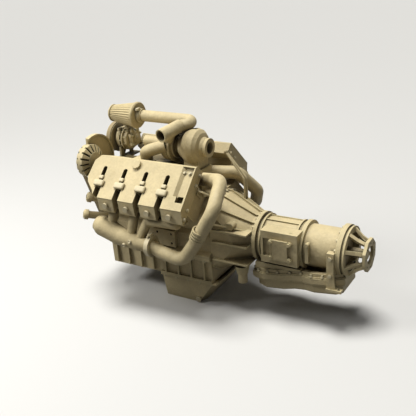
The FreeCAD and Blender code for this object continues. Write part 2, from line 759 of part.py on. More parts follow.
def vband_clamp():
    """The band over the joint between manifold and up-pipe, with its bolt."""
    x = log_end[0] + clamp_width / 2.0
    band = ring_x(clamp_flange_radius + 6.0, clamp_flange_radius - 6.0, x - clamp_width / 2.0,
                  x + clamp_width / 2.0,
                  -log_distance, log_end[1])
    lug = block_between((x - 9.0, x + 9.0), (-log_distance - 12.0, -log_distance + 12.0),
                        (log_end[1] + clamp_flange_radius + 5.0, log_end[1] + clamp_flange_radius + 18.0))
    bolt = Part.makeCylinder(5.0, 50.0, vec(x, -log_distance - 25.0,
                                            log_end[1] + clamp_flange_radius + 11.0), AXIS_Y)
    return joined([band, lug, bolt])


def up_pipe():
    """Left up-pipe from the manifold, under and behind the head, up to the pedestal."""
    points = [up_pipe_start, up_pipe_start + vec(50.0, 2.0, -22.0), vec(-770.0, -304.0, -44.0),
              bellows_foot - (bellows_head - bellows_foot) * 0.35, vec(-600.0, -296.0, 222.0),
              vec(-622.0, -172.0, 318.0), pedestal_port]
    pipe = swept_tube(points, (60.0, 70.0, 80.0, 60.0, 55.0), up_pipe_radius, up_pipe_radius - pipe_wall)
    start_flange = ring_x(clamp_flange_radius - 6.0, up_pipe_radius - pipe_wall, up_pipe_start.x,
                          up_pipe_start.x + 11.0, up_pipe_start.y, up_pipe_start.z)
    return fitted_pipe(pipe, start_flange, up_pipe_start.x)


def fitted_pipe(pipe, flange, x_start):
    """Trim a pipe square at its clamp face and to the pedestal's sides."""
    front = block_between((x_start - 40.0, x_start), (-400.0, 400.0), (-60.0, 60.0))
    return cut_all(pipe.fuse(flange), [front, pedestal_column()])


def right_up_pipe():
    """Right up-pipe: behind the right head and over the bell housing to the pedestal's other port."""
    start = vec(up_pipe_start.x - bank_stagger, log_distance, log_end[1])
    port = vec(pedestal_port.x, -pedestal_port.y, pedestal_port.z)
    points = [start, start + vec(50.0, -2.0, -22.0), vec(-820.0, 304.0, -40.0), vec(-694.0, 286.0, 36.0),
              vec(-650.0, 222.0, 126.0), vec(-700.0, 118.0, 250.0), port]
    pipe = swept_tube(points, (60.0, 70.0, 60.0, 50.0, 50.0), up_pipe_radius, up_pipe_radius - pipe_wall)
    flange = ring_x(clamp_flange_radius - 6.0, up_pipe_radius - pipe_wall, start.x, start.x + 11.0,
                    start.y, start.z)
    return fitted_pipe(pipe, flange, start.x)


def bellows():
    """Four convolutions round the up-pipe's straight run."""
    run = bellows_head - bellows_foot
    step = run.normalize() * 14.0
    rings = []
    for k in range(4):
        foot = bellows_foot + step * k
        ring = cylinder_between(foot, foot + step * 0.6, up_pipe_radius + 5.0)
        rings.append(ring.cut(cylinder_between(foot - step, foot + step * 2, up_pipe_radius)))
    return rings


def pedestal_column():
    outline = [(pedestal_front, valley_floor), (pedestal_front + 20.0, pedestal_top),
               (pedestal_rear - 4.0, pedestal_top), (pedestal_rear, valley_floor)]
    return prism_y(outline, -pedestal_half_width, pedestal_half_width)


def turbo_pedestal():
    """The cast column in the valley that carries the turbocharger and joins the two up-pipes."""
    duct = block_between((turbine_centre - 30.0, turbine_centre + 30.0), (-34.0, 34.0),
                         (pedestal_top - 60.0, pedestal_top))
    cross = Part.makeCylinder(up_pipe_radius - pipe_wall, 2 * pedestal_half_width,
                              vec(pedestal_port.x, -pedestal_half_width, pedestal_port.z), AXIS_Y)
    return pedestal_column().cut(duct).cut(cross)


# ---- Turbocharger ----

def turbine_housing():
    """Round volute, foot on the pedestal, and the outlet with its lip."""
    half = 48.0
    x = turbine_centre
    outline = [(x - half, 0.0), (x - half, 50.0), (x - half + 6.0, 68.0), (x - 26.0, turbine_radius - 6.0),
               (x, turbine_radius), (x + 26.0, turbine_radius - 6.0), (x + half - 6.0, 66.0),
               (x + half, 48.0),
               (outlet_face - 14.0, 40.0), (outlet_face - 14.0, outlet_rim_radius),
               (outlet_face, outlet_rim_radius),
               (outlet_face, 0.0)]
    body = turned_x(outline, 0.0, turbo_height)
    foot = block_between((x - 40.0, x + 40.0), (-44.0, 44.0), (pedestal_top, turbo_height - 40.0))
    cavity = [(x - half, 0.0), (x - half, 24.0), (x - 30.0, 24.0), (x - 30.0, turbine_wheel_radius + 4.0),
              (x + 20.0, turbine_wheel_radius + 4.0), (outlet_bore_start, outlet_radius),
              (outlet_face, outlet_radius),
              (outlet_face, 0.0)]
    inlet = block_between((x - 26.0, x + 14.0), (-26.0, 26.0), (pedestal_top, turbo_height - 20.0))
    shell = joined([body, foot]).cut(turned_x(cavity, 0.0, turbo_height)).cut(inlet)
    return shell.cut(cylinder_between(intake_elbow, charge_outlet_root, intake_radius + 4.0))


def bearing_housing():
    """Centre housing with the rotor's journal bore and the oil feed boss."""
    x0, x1 = bearing_front, bearing_rear
    outline = [(x0, turbo_shaft_radius + running_clearance), (x0, 62.0), (x0 + 8.0, 62.0), (x0 + 8.0, 40.0),
               (x1 - 8.0, 40.0), (x1 - 8.0, 56.0), (x1, 56.0), (x1, turbo_shaft_radius + running_clearance)]
    body = turned_x(outline, 0.0, turbo_height)
    boss = Part.makeCylinder(11.0, 20.0, vec((x0 + x1) / 2.0, 0.0, turbo_height + 34.0), AXIS_Z)
    return joined([body, boss]).cut(compressor_housing())


def compressor_housing():
    """Volute, front inlet, back plate with two clamp bolts, and the discharge neck to its open end."""
    outline = [(inlet_front, 0.0), (inlet_front, inlet_bore + 4.0), (compressor_front, inlet_bore + 4.0),
               (compressor_front, 46.0), (compressor_front + 14.0, 50.0),
               (compressor_centre - 26.0, 70.0), (compressor_centre - 12.0, compressor_radius - 4.0),
               (compressor_centre + 12.0, compressor_radius - 2.0), (compressor_back - 12.0, 74.0),
               (compressor_back - 12.0, compressor_radius), (compressor_back, compressor_radius),
               (compressor_back, 0.0)]
    body = turned_x(outline, 0.0, turbo_height)
    cavity = [(inlet_front, 0.0), (inlet_front, inlet_bore), (compressor_front + 4.0, inlet_bore),
              (compressor_front + 14.0, 36.0), (compressor_centre - 20.0, 36.0),
              (compressor_back - 28.0, compressor_wheel_radius + 4.0),
              (compressor_back, compressor_wheel_radius + 4.0),
              (compressor_back, 0.0)]
    discharge = cylinder_between(charge_outlet_root, charge_outlet_face, charge_outlet_radius)
    direction = (charge_outlet_root - charge_outlet_face).normalize()
    opening = discharge_bore()
    neck_top = charge_outlet_face + direction * 66.0
    neck_foot = vec(compressor_centre, -40.0, turbo_height + 10.0)
    neck = cylinder_between(neck_foot, neck_top, 27.0)
    bolts = [hex_bolt(vec(compressor_back - 12.0, y, turbo_height + z), vec(-1, 0, 0), 7.0, 8.0)
             for y, z in ((-62.0, 48.0), (-74.0, 16.0))]
    body = joined([body, neck, discharge]).cut(turned_x(cavity, 0.0, turbo_height)).cut(opening)
    return Part.makeCompound([body] + bolts)


def discharge_bore():
    direction = (charge_outlet_root - charge_outlet_face).normalize()
    return cylinder_between(charge_outlet_face, charge_outlet_face + direction * charge_bore_length,
                            charge_outlet_bore)


def wheel_blades(count, x_tip, x_hub, tip_radius, hub_radius):
    """Thin blades that reach from the hub to just inside the shroud."""
    outline = [(x_hub, hub_radius - 2.0), (x_hub, tip_radius), (x_tip, tip_radius * 0.62),
               (x_tip, hub_radius - 2.0)]
    blade = moved(prism_y(outline, -blade_thickness / 2.0, blade_thickness / 2.0), vec(0, 0, turbo_height))
    return pattern_about_x(blade, count, 0.0, turbo_height)


def turbo_rotor():
    """One shaft with the turbine wheel behind and the compressor wheel in front."""
    compressor_hub = [(-1022.0, 0.0), (-1022.0, 8.0), (compressor_back - 12.0, 14.0),
                      (compressor_back - 7.0, 46.0),
                      (compressor_back - 3.0, 46.0), (compressor_back - 3.0, turbo_shaft_radius),
                      (turbine_centre - 46.0, turbo_shaft_radius), (turbine_centre - 28.0, 20.0),
                      (turbine_centre - 26.0, 46.0), (turbine_centre - 22.0, 46.0),
                      (turbine_centre - 18.0, 18.0),
                      (turbine_centre + 34.0, 9.0), (turbine_centre + 34.0, 0.0)]
    hub = turned_x(compressor_hub, 0.0, turbo_height)
    blades = wheel_blades(8, -1012.0, compressor_back - 8.0, compressor_wheel_radius - 3.0, 12.0)
    blades += wheel_blades(9, turbine_centre + 28.0, turbine_centre - 23.0, turbine_wheel_radius - 4.0, 14.0)
    return joined([hub] + blades)


# ---- Intake ----

def air_filter():
    """A cone of pleats between a small front cap and a large rear cap with its neck."""
    y, z = filter_centre.y, filter_centre.z
    x0, x1 = filter_front + 12.0, filter_rear - 16.0

    def pleat_ring(x, radius):
        points = []
        for k in range(2 * pleat_count):
            angle = math.pi * k / pleat_count
            reach = radius - (3.5 if k % 2 else 0.0)
            points.append(vec(x, y + reach * math.sin(angle), z + reach * math.cos(angle)))
        return Part.makePolygon(points + points[:1])

    pleats = Part.makeLoft([pleat_ring(x0, filter_front_radius - 2.0),
                            pleat_ring(x1, filter_rear_radius - 3.0)],
                           True, True)
    front_cap = turned_x([(filter_front, 0.0), (filter_front, filter_front_radius - 6.0),
                          (filter_front + 6.0, filter_front_radius), (x0, filter_front_radius), (x0, 0.0)],
                          y, z)
    rear_cap = turned_x([(x1, 0.0), (x1, filter_rear_radius), (filter_rear - 5.0, filter_rear_radius),
                         (filter_rear, filter_rear_radius - 5.0), (filter_rear, 0.0)], y, z)
    neck = cylinder_x(intake_radius + 5.0, filter_rear - 2.0, filter_rear + 26.0, y, z)
    socket = cylinder_x(intake_radius, filter_rear - 10.0, filter_rear + 26.0, y, z)
    return joined([front_cap, pleats, rear_cap, neck]).cut(socket).cut(intake_rod(intake_radius))


def hose_clamps():
    """The worm clamp on the filter's neck, with its screw."""
    x = filter_rear + 12.0
    band = ring_x(intake_radius + 7.5, intake_radius + 5.0, x - 7.0, x + 7.0, filter_centre.y,
                  filter_centre.z)
    screw_y = filter_centre.y - 20.0
    screw_z = filter_centre.z + intake_radius + 5.0
    housing = block_between((x - 7.0, x + 7.0), (screw_y - 11.0, screw_y + 11.0),
                            (screw_z - 4.0, screw_z + 9.0))
    screw = hex_bolt(vec(x, screw_y - 11.0, screw_z + 3.0), vec(0, -1, 0), 5.0, 6.0)
    clear = cylinder_x(intake_radius + 5.0, x - 7.0, x + 7.0, filter_centre.y, filter_centre.z)
    return Part.makeCompound([joined([band, housing]).cut(clear), screw])


def intake_rod(radius):
    start = vec(filter_rear - 9.0, filter_centre.y, filter_centre.z)
    return swept_rod([start, intake_elbow, charge_outlet_root], (36.0,), radius)


def intake_pipe():
    """From the filter back over the turbocharger, round the elbow and down onto the discharge body."""
    pipe = intake_rod(intake_radius).cut(intake_rod(intake_radius - pipe_wall))
    return pipe.cut(compressor_housing()).cut(discharge_bore())


def intake_plenum():
    """Log plenum in the valley with one flanged runner block to each head, and the charge inlet neck."""
    half = [(-plenum_half_width, 232.0), (-plenum_half_width, plenum_top - 24.0), (-70.0, plenum_top)]
    box = prism_x(mirrored_outline([(-60.0, 206.0)] + half), plenum_front, plenum_rear)
    runners = []
    for side in (-1, 1):
        inner = bank_point(0, head_foot + 30.0, -deck_half_inner - 5.0, side)
        low, high = inner.z - 14.0, inner.z + 34.0
        for k in range(cylinders_per_bank):
            x = left_cylinder_x(k) - (bank_stagger if side > 0 else 0.0)
            if plenum_front + 20.0 < x < plenum_rear + 60.0:
                span = (max(x - 30.0, plenum_front), min(x + 30.0, plenum_rear))
                runners.append(block_between(span, sorted_range(side, 60.0, abs(inner.y) - 1.0), (low, high)))
    heads = [on_left_bank(cylinder_head()), on_right_bank(cylinder_head())]
    cavity = prism_x(mirrored_outline([(-54.0, 214.0), (-88.0, 240.0), (-88.0, plenum_top - 32.0),
                                       (-64.0, plenum_top - 8.0)]), plenum_front + 8.0, plenum_rear - 8.0)
    clear_turbo = cylinder_x(compressor_radius + gap, compressor_front, compressor_back, 0.0, turbo_height)
    return joined([box] + runners).cut(Part.makeCompound(heads)).cut(cavity).cut(clear_turbo)


def charge_duct():
    """The fat duct from the compressor housing down to its flange on the plenum."""
    end = vec(-1096.0, -62.0, plenum_top)
    points = [vec(-975.0, -66.0, turbo_height + 10.0), vec(-1066.0, -106.0, turbo_height - 16.0),
              end + vec(0, 0, 30.0), end]
    duct = swept_tube(points, (40.0, 36.0), duct_radius, duct_radius - pipe_wall)
    flange = ring_z(duct_radius + 12.0, duct_radius - pipe_wall, end, 7.0)
    trimmed = joined([duct, flange]).cut(compressor_housing())
    return max(trimmed.Solids, key=lambda solid: solid.Volume)


# ---- Belt drive and front accessories ----

def pulley(centre):
    """A flanged pulley: rim with two lips, web and hub, open to the front."""
    y, z, radius = centre
    rear, front = x_belt + pulley_width / 2.0, x_belt - pulley_width / 2.0
    lip = radius + 3.0
    outline = [(rear, nose_of(centre)), (rear, lip), (rear - 1.8, lip), (rear - 1.8, radius),
               (front + 1.8, radius), (front + 1.8, lip), (front, lip), (front, radius - pulley_wall),
               (rear - 9.0, radius - pulley_wall), (rear - 9.0, pulley_hub_radius),
               (front + 6.0, pulley_hub_radius),
               (front + 6.0, nose_of(centre))]
    return turned_x(outline, y, z)


def nose_of(centre):
    """Bore of the pulley: the crank pulley sits on the crankshaft's nose, the others on their shafts."""
    return nose_radius if centre is crank_pulley else accessory_shaft_radius


def shafted_pulley(centre, x_rear):
    """A pulley with the accessory's own shaft, which runs back into its housing."""
    y, z, _ = centre
    shaft = cylinder_x(accessory_shaft_radius, x_belt - belt_width / 2.0, x_rear, y, z)
    return joined([pulley(centre), shaft])


def crank_damper():
    """The crank pulley with the damper ring behind it."""
    ring = turned_x([(x_belt + 15.0, nose_radius), (x_belt + 15.0, 78.0), (x_belt + 42.0, 78.0),
                     (x_belt + 42.0, 60.0), (x_belt + 30.0, 56.0), (x_belt + 30.0, nose_radius)])
    return joined([pulley(crank_pulley), ring])


def tangent_run(first, second):
    """Angles on two belt arcs where a straight run leaves the first and meets the second.

    Each arc is (y, z, signed radius); the sign is the side of the belt that the pulley is on.
    """
    along_y, along_z = second[0] - first[0], second[1] - first[1]
    distance = math.hypot(along_y, along_z)
    direction = math.atan2(along_z, along_y)
    tilt = math.asin((first[2] - second[2]) / distance)
    normal = direction - math.pi / 2.0 + tilt
    return [(p[0] + p[2] * math.cos(normal), p[1] + p[2] * math.sin(normal)) for p in (first, second)]


belt_route = ((crank_pulley, 1), (tension_pulley, -1), (compressor_pulley, 1), (water_pulley, -1),
              (alternator_pulley, 1))


def belt_loop(offset):
    """The belt's closed line at this distance outside the grooved pulleys' faces."""
    arcs = [(p[0], p[1], p[2] + offset) if side > 0 else (p[0], p[1],
                                                          -(p[2] + belt_thickness + 2 * gap - offset))
            for p, side in belt_route]
    runs = [tangent_run(arcs[k], arcs[(k + 1) % len(arcs)]) for k in range(len(arcs))]
    edges = []
    for k, arc in enumerate(arcs):
        (y0, z0), (y1, z1) = runs[k - 1][1], runs[k][0]
        centre_y, centre_z, radius = arc
        start = math.atan2(z0 - centre_z, y0 - centre_y)
        sweep = (math.atan2(z1 - centre_z, y1 - centre_y) - start) % (2 * math.pi)
        if radius < 0:
            sweep -= 2 * math.pi
        middle = start + sweep / 2.0
        mid = vec(0, centre_y + abs(radius) * math.cos(middle), centre_z + abs(radius) * math.sin(middle))
        edges.append(Part.Arc(vec(0, y0, z0), mid, vec(0, y1, z1)).toShape())
        edges.append(Part.makeLine(vec(0, *runs[k][0]), vec(0, *runs[k][1])))
    return Part.Wire(edges)


def serpentine_belt():
    outer = Part.Face(belt_loop(gap + belt_thickness))
    inner = Part.Face(belt_loop(gap))
    belt = outer.cut(inner).extrude(vec(belt_width - 4.0, 0, 0))
    return moved(belt, vec(x_belt - (belt_width - 4.0) / 2.0, 0, 0))


def accessory_bracket():
    """The arched plate behind the pulleys, on pillars from the timing case, with the compressor's shelf."""
    arch_y, arch_z, arch_radius = bracket_arch
    x0, x1 = bracket_front, bracket_front + bracket_thickness
    inner_side = block_between((x0, x1 + 10.0), (alternator_pulley[0] + 8.0, arch_y + arch_radius),
                               (arch_z - arch_radius, arch_z + arch_radius))
    disc = cylinder_x(arch_radius, x0, x1, arch_y, arch_z)
    lip = ring_x(arch_radius, arch_radius - 8.0, x1, x1 + 10.0, arch_y, arch_z)
    arch = joined([disc, lip]).common(inner_side)
    leg = prism_x([(-120.0, 150.0), (-110.0, 230.0), (120.0, 268.0), (106.0, 110.0), (-60.0, 110.0)], x0, x1)
    pillars = [cylinder_x(12.0, x1, x_timing_front, y, z) for y,
               z in ((-96.0, 168.0), (92.0, 132.0), (64.0, 246.0))]
    shelf = block_between((x1, x_timing_front), (60.0, 176.0), (shelf_top - 8.0, shelf_top))
    web = block_between((x1, x_timing_front), (58.0, 70.0), (250.0, 268.0))
    plate = joined([arch, leg, shelf, web] + pillars)
    clear_alternator = cylinder_x(alternator_radius + gap, x0, x_timing_front, alternator_pulley[0],
                                  alternator_pulley[1])
    clear_pump = cylinder_x(pump_radius + gap, x0, x_timing_front, water_pulley[0], water_pulley[1])
    clear_shaft = cylinder_x(accessory_shaft_radius + 4.0, x0, x1, compressor_pulley[0], compressor_pulley[1])
    pivot_hole = cylinder_x(tensioner_pin_radius + running_clearance, x0, x1, *tensioner_pivot)
    return cut_all(plate, [clear_alternator, clear_pump, clear_compressor(), clear_shaft, pivot_hole,
                           alternator_housing()])


def water_pump():
    """Pump body between the timing case and the bracket plate, with its hose neck."""
    y, z, _ = water_pulley
    x0, x1 = bracket_front, x_timing_front
    body = turned_x([(x0, accessory_shaft_radius + running_clearance), (x0, 30.0),
                     (x0 + 30.0, pump_radius - 6.0),
                     (x0 + 44.0, pump_radius), (x1 - 12.0, pump_radius), (x1 - 12.0, 56.0), (x1, 56.0),
                     (x1, accessory_shaft_radius + running_clearance)], y, z)
    neck = Part.makeCylinder(17.0, 64.0, vec(x1 - 20.0, y, z), AXIS_Z)
    bore_line = cylinder_x(accessory_shaft_radius + running_clearance, x0, x1, y, z)
    neck_hole = Part.makeCylinder(13.0, 34.0, vec(x1 - 20.0, y, z + 30.0), AXIS_Z)
    return joined([body, neck]).cut(bore_line).cut(neck_hole)


def alternator_housing():
    """Two vented end shells round a smooth band; the rear shell is domed, with radial vents."""
    y, z, _ = alternator_pulley
    x0 = alternator_front
    x1 = x0 + alternator_length
    outline = [(x0, accessory_shaft_radius + running_clearance), (x0, 66.0), (x0 + 6.0, alternator_radius),
               (x0 + 40.0, alternator_radius), (x1 - 14.0, 64.0), (x1 - 4.0, 44.0), (x1, 20.0), (x1, 0.0),
               (x1 - 16.0, 0.0), (x1 - 16.0, accessory_shaft_radius + running_clearance)]
    body = turned_x(outline, y, z)
    front_vent = block_between((x0 + 4.0, x0 + 14.0), (y - 4.5, y + 4.5),
                               (z + alternator_radius - 12.0, z + alternator_radius + 2.0))
    rear_vent = block_between((x1 - 32.0, x1 - 5.0), (y - 4.5, y + 4.5), (z + 44.0, z + alternator_radius))
    vents = pattern_about_x(front_vent, slot_count, y, z) + pattern_about_x(rear_vent, slot_count, y, z)
    ear = block_between((x0 + 14.0, x0 + 30.0), (y + 44.0, y + 64.0), (z - alternator_radius, z - 50.0))
    return joined([cut_all(body, vents), ear])


def clear_compressor():
    y, z, _ = compressor_pulley
    return cylinder_x(compressor_body_radius + gap, compressor_body_front - 2.0, compressor_body_front
                      + compressor_body_length + 2.0, y, z)


def ac_compressor():
    """Front flange with ears, barrel, ribbed rear head and the two hose ports on top."""
    y, z, _ = compressor_pulley
    x0 = compressor_body_front
    x1 = x0 + compressor_body_length
    bore_radius = accessory_shaft_radius + running_clearance
    outline = [(x0, bore_radius), (x0, 54.0), (x0 + 12.0, 54.0), (x0 + 12.0, compressor_body_radius - 4.0),
               (x0 + 24.0, compressor_body_radius - 4.0), (x0 + 24.0, 50.0), (x1 - 36.0, 50.0),
               (x1 - 36.0, compressor_body_radius), (x1 - 28.0, compressor_body_radius), (x1 - 28.0, 54.0),
               (x1 - 6.0, 54.0), (x1, 46.0), (x1, 0.0), (x1 - 24.0, 0.0), (x1 - 24.0, bore_radius)]
    body = turned_x(outline, y, z)
    rib = block_between((x1 - 28.0, x1 - 7.0), (y - 3.0, y + 3.0), (z + 48.0, z + 58.0))
    ribs = pattern_about_x(rib, 10, y, z)
    ports = [Part.makeCylinder(10.0, 30.0, vec(x1 - 17.0, y + dy, z + 44.0), AXIS_Z) for dy in (-18.0, 14.0)]
    ears = [block_between((x0 + 12.0, x0 + 24.0), (y + dy - 10.0, y + dy + 10.0), (shelf_top, z - 40.0))
            for dy in (-40.0, 40.0)]
    return joined([body] + ribs + ports + ears)


def tensioner_arm():
    """The spring arm behind the belt, with the boss that carries its pulley."""
    y0, z0 = tensioner_pivot
    y1, z1, _ = tension_pulley
    x0, x1 = x_belt + belt_width / 2.0 + 4.0, bracket_front - gap
    length = math.hypot(y1 - y0, z1 - z0)
    arm = block_between((x0, x1), (0.0, length), (-tensioner_arm_radius * 0.8, tensioner_arm_radius * 0.8))
    arm = moved(turned_copy(arm, ORIGIN, AXIS_X, math.degrees(math.atan2(z1 - z0, y1 - y0))), vec(0, y0, z0))
    ends = [cylinder_x(tensioner_arm_radius, x0, x1, y0, z0),
            cylinder_x(tensioner_arm_radius, x0, x1, y1, z1)]
    axle = cylinder_x(accessory_shaft_radius - running_clearance, x_belt - belt_width / 2.0, x0, y1, z1)
    pin = cylinder_x(tensioner_pin_radius, x1, bracket_front + bracket_thickness, y0, z0)
    return joined([arm] + ends + [axle, pin])


# ---- Pans ----

def upper_oil_pan():
    """Ribbed cast pan: deep behind, closed in front by a floor."""
    front = x_timing_front + 10.0
    top, low = rail_height, upper_pan_floor
    shell = prism_x([(-rail_half_width, top), (-rail_half_width, top - 12.0), (-150.0, top - 16.0),
                     (-146.0, low), (146.0, low), (150.0, top - 16.0), (rail_half_width, top - 12.0),
                     (rail_half_width, top)], front, x_block_rear)
    cavity = prism_x([(-138.0, top), (-138.0, low + pan_wall), (138.0, low + pan_wall), (138.0, top)],
                     front + 10.0, x_block_rear - 10.0)
    opening = block_between((sump_front + 12.0, x_block_rear - 12.0), (-138.0, 138.0), (low, low + pan_wall))
    lower_rail = block_between((sump_front - 2.0, x_block_rear), (-160.0, 160.0), (low, low + 12.0))
    rib_span = x_block_rear - front
    ribs = []
    for k in range(8):
        x = front + rib_span * (k + 0.5) / 8.0
        ribs.append(block_between((x - 4.0, x + 4.0), (-rail_half_width + 2.0, rail_half_width - 2.0),
                                  (low + 10.0, top - 12.0)))
    front_rib = prism_y([(front, low), (front + 40.0, low - 20.0), (front + 90.0, low - 20.0),
                         (front + 120.0, low)],
                        -90.0, 90.0)
    return joined([shell, lower_rail, front_rib] + ribs).cut(cavity).cut(opening)


def oil_sump():
    """Deep folded sump: tapered ends, flat foot, flange under the upper pan."""
    top = upper_pan_floor

    def ring(z, front, rear, half_front, half_rear, chamfer):
        return Part.makePolygon([vec(front, -half_front, z), vec(rear - chamfer, -half_rear, z),
                                 vec(rear, -half_rear + 2 * chamfer, z),
                                 vec(rear, half_rear - 2 * chamfer, z),
                                 vec(rear - chamfer, half_rear, z), vec(front, half_front, z),
                                 vec(front, -half_front, z)])

    shell = Part.makeLoft([ring(top, sump_front, x_block_rear + 26.0, sump_half_width, sump_half_width, 20.0),
                           ring(sump_floor, sump_front + 18.0, sump_rear, sump_half_width - 4.0,
                                sump_half_width - 4.0, 20.0)], True, True)
    wall = pan_wall
    cavity = Part.makeLoft([ring(top, sump_front + wall, x_block_rear + 26.0 - 2 * wall,
                                 sump_half_width - wall,
                                 sump_half_width - wall, 20.0),
                            ring(sump_floor + wall, sump_front + 18.0 + wall, sump_rear - wall,
                                 sump_half_width - 4.0 - wall, sump_half_width - 4.0 - wall, 20.0)], True,
                                 True)
    flange = block_between((sump_front - 2.0, x_block_rear + 26.0), (-160.0, 160.0), (top - 6.0, top))
    return joined([shell, flange]).cut(cavity)


def drain_plug():
    """Hexagon plug low in the sump's near wall."""
    return hex_bolt(vec(-800.0, -sump_half_width + 3.6, -330.0), vec(0, -1, 0), 14.0, 9.0).cut(oil_sump())


# ---- Gearbox ----

def bell_housing():
    """Cone from the block to the gearbox, with top ribs, side fins and an oval boss."""
    x0, x1 = x_block_rear, x_ring_a - flange_thickness
    solid_outline = [(x0, 0.0), (x0, bell_mouth_radius + 8.0), (x0 + 10.0, bell_mouth_radius + 8.0),
                     (x0 + 10.0, bell_mouth_radius), (x0 + 30.0, bell_mouth_radius - 4.0),
                     (x1 - 20.0, bell_neck_radius), (x1, bell_neck_radius), (x1, ring_a_radius),
                     (x_ring_a, ring_a_radius), (x_ring_a, 0.0)]
    rib_outline = [(x0 + 10.0, bell_mouth_radius - 6.0), (x0 + 10.0, bell_mouth_radius + 7.0),
                   (x0 + 30.0, bell_mouth_radius + 6.0), (x1 - 16.0, bell_neck_radius + 9.0),
                   (x1, bell_neck_radius + 8.0), (x1, bell_neck_radius - 4.0),
                   (x1 - 26.0, bell_neck_radius - 4.0),
                   (x0 + 30.0, bell_mouth_radius - 8.0)]
    rib = prism_y(rib_outline, -3.5, 3.5)
    ribs = [turned_copy(rib, ORIGIN, AXIS_X, angle) for angle in (-60.0, -36.0, -12.0, 12.0, 36.0, 60.0)]
    fins = [block_between((x0 + 12.0, x1 - 4.0), (-bell_fin_reach, -60.0), (z - 4.0, z + 4.0))
            for z in (58.0, -2.0, -92.0)]
    boss = joined([cylinder_between(vec(x + x0 + 96.0, -60.0, 84.0), vec(x + x0 + 96.0, -142.0, 84.0), 15.0)
                   for x in (0.0, 12.0)])
    hollow = turned_x([(x0, 0.0), (x0, bell_mouth_radius - case_wall),
                       (x0 + 34.0, bell_mouth_radius - case_wall - 4.0),
                       (x1 - 30.0, bell_neck_radius - case_wall),
                       (x_ring_a - 16.0, bell_neck_radius - case_wall - 10.0),
                       (x_ring_a - 16.0, 0.0)])
    sides = block_between((x0, x1), (-bell_half_width, bell_half_width), (-300.0, 300.0))
    sides = sides.fuse(cylinder_x(ring_a_radius, x1 - 1.0, x_ring_a))
    inner_sides = block_between((x0, x1), (-bell_half_width + case_wall, bell_half_width - case_wall),
                                (-300.0, 300.0))
    body = turned_x(solid_outline).common(sides)
    outer = joined([body] + ribs + fins + [boss])
    return cut_all(outer, [hollow.common(inner_sides), cylinder_x(pump_bore_radius, x1 - 40.0, x_ring_a),
                           pan_block()])


def flexplate():
    """Thin plate with a starter ring, bolted to the crank flange."""
    x0 = x_block_rear + 10.0
    plate = cylinder_x(122.0, x0, x0 + 4.0)
    ring = ring_x(130.0, 122.0, x0, x0 + 12.0)
    hole = cylinder_x(20.0, x0, x0 + 4.0, 0.0, 78.0)
    bolts = pattern_about_x(hex_bolt(vec(x0 + 4.0, 0.0, 30.0), vec(1, 0, 0), 8.0, 6.0), 6)
    return joined([cut_all(plate, pattern_about_x(hole, 6)), ring] + bolts)


def torque_converter():
    """Rounded torus of sheet steel with the pump hub that enters the gearbox."""
    x0 = x_block_rear + 26.0
    outline = [(x0 - 10.0, 0.0), (x0 - 10.0, 18.0), (x0, 18.0), (x0, 110.0), (x0 + 20.0, 122.0),
               (x0 + 62.0, 122.0),
               (x0 + 96.0, 96.0), (x0 + 112.0, 60.0), (x0 + 112.0, pump_hub_radius),
               (x_ring_a - 2.0, pump_hub_radius),
               (x_ring_a - 2.0, 0.0)]
    lug = cylinder_x(9.0, x0 - 12.0, x0 + 4.0, 0.0, 106.0)
    return joined([turned_x(outline)] + pattern_about_x(lug, 6, first=30.0))


def main_case():
    """Gearbox main case: barrel, double flanges, top ribs, side pad with its frame and pan rail."""
    x0, x1 = x_ring_a, x_ring_b
    outline = [(x0, pump_bore_radius), (x0, ring_a_radius), (x0 + flange_thickness, ring_a_radius),
               (x0 + flange_thickness, main_case_radius), (x0 + 22.0, main_case_radius),
               (x0 + 22.0, ring_a_radius - 6.0),
               (x0 + 30.0, ring_a_radius - 6.0), (x0 + 30.0, main_case_radius), (x1 - 34.0, main_case_radius),
               (x1 - 34.0, ring_b_radius - 4.0), (x1 - 26.0, ring_b_radius - 4.0),
               (x1 - 26.0, main_case_radius - 2.0),
               (x1 - flange_thickness, main_case_radius - 2.0), (x1 - flange_thickness, ring_b_radius),
               (x1, ring_b_radius), (x1, main_case_radius - 40.0), (x1 - 12.0, main_case_radius - 40.0),
               (x1 - 12.0, main_case_radius - case_wall), (x0 + 14.0, main_case_radius - case_wall),
               (x0 + 14.0, pump_bore_radius)]
    barrel = turned_x(outline)
    rib = block_between((x0 + 30.0, x1 - 34.0), (-3.0, 3.0), (main_case_radius - 5.0, main_case_radius + 6.0))
    ribs = [turned_copy(rib, ORIGIN, AXIS_X, angle) for angle in (-40.0, -14.0, 14.0, 40.0)]
    pad = block_between(pad_x, (-side_pad_reach, -62.0), pad_z)
    recess = block_between((pad_x[0] + 12.0, pad_x[0] + 44.0), (-side_pad_reach, -side_pad_reach + 12.0),
                           (-30.0, 56.0))
    window = block_between((pad_x[0] + 70.0, pad_x[1] - 54.0), (-side_pad_reach, -90.0), (-24.0, 44.0))
    rail = block_between((x0 + 2.0, x1), (-104.0, 104.0), (-118.0, -84.0))
    boss = cylinder_between(vec(x1 - 40.0, -70.0, 66.0), vec(x1 - 40.0, -118.0, 82.0), 15.0)
    core = turned_x([(x0, 0.0), (x0, pump_bore_radius), (x0 + 14.0, pump_bore_radius),
                     (x0 + 14.0, main_case_radius - case_wall), (x1 - 12.0, main_case_radius - case_wall),
                     (x1 - 12.0, main_case_radius - 40.0), (x1, main_case_radius - 40.0), (x1, 0.0)])
    lever_hole = Part.makeCylinder(lever_shaft_radius + running_clearance, 40.0,
                                   lever_pivot - vec(0, 32.0, 0), AXIS_Y)
    return cut_all(joined([barrel, pad, rail, boss] + ribs), [core, recess, window, lever_hole, pan_block()])


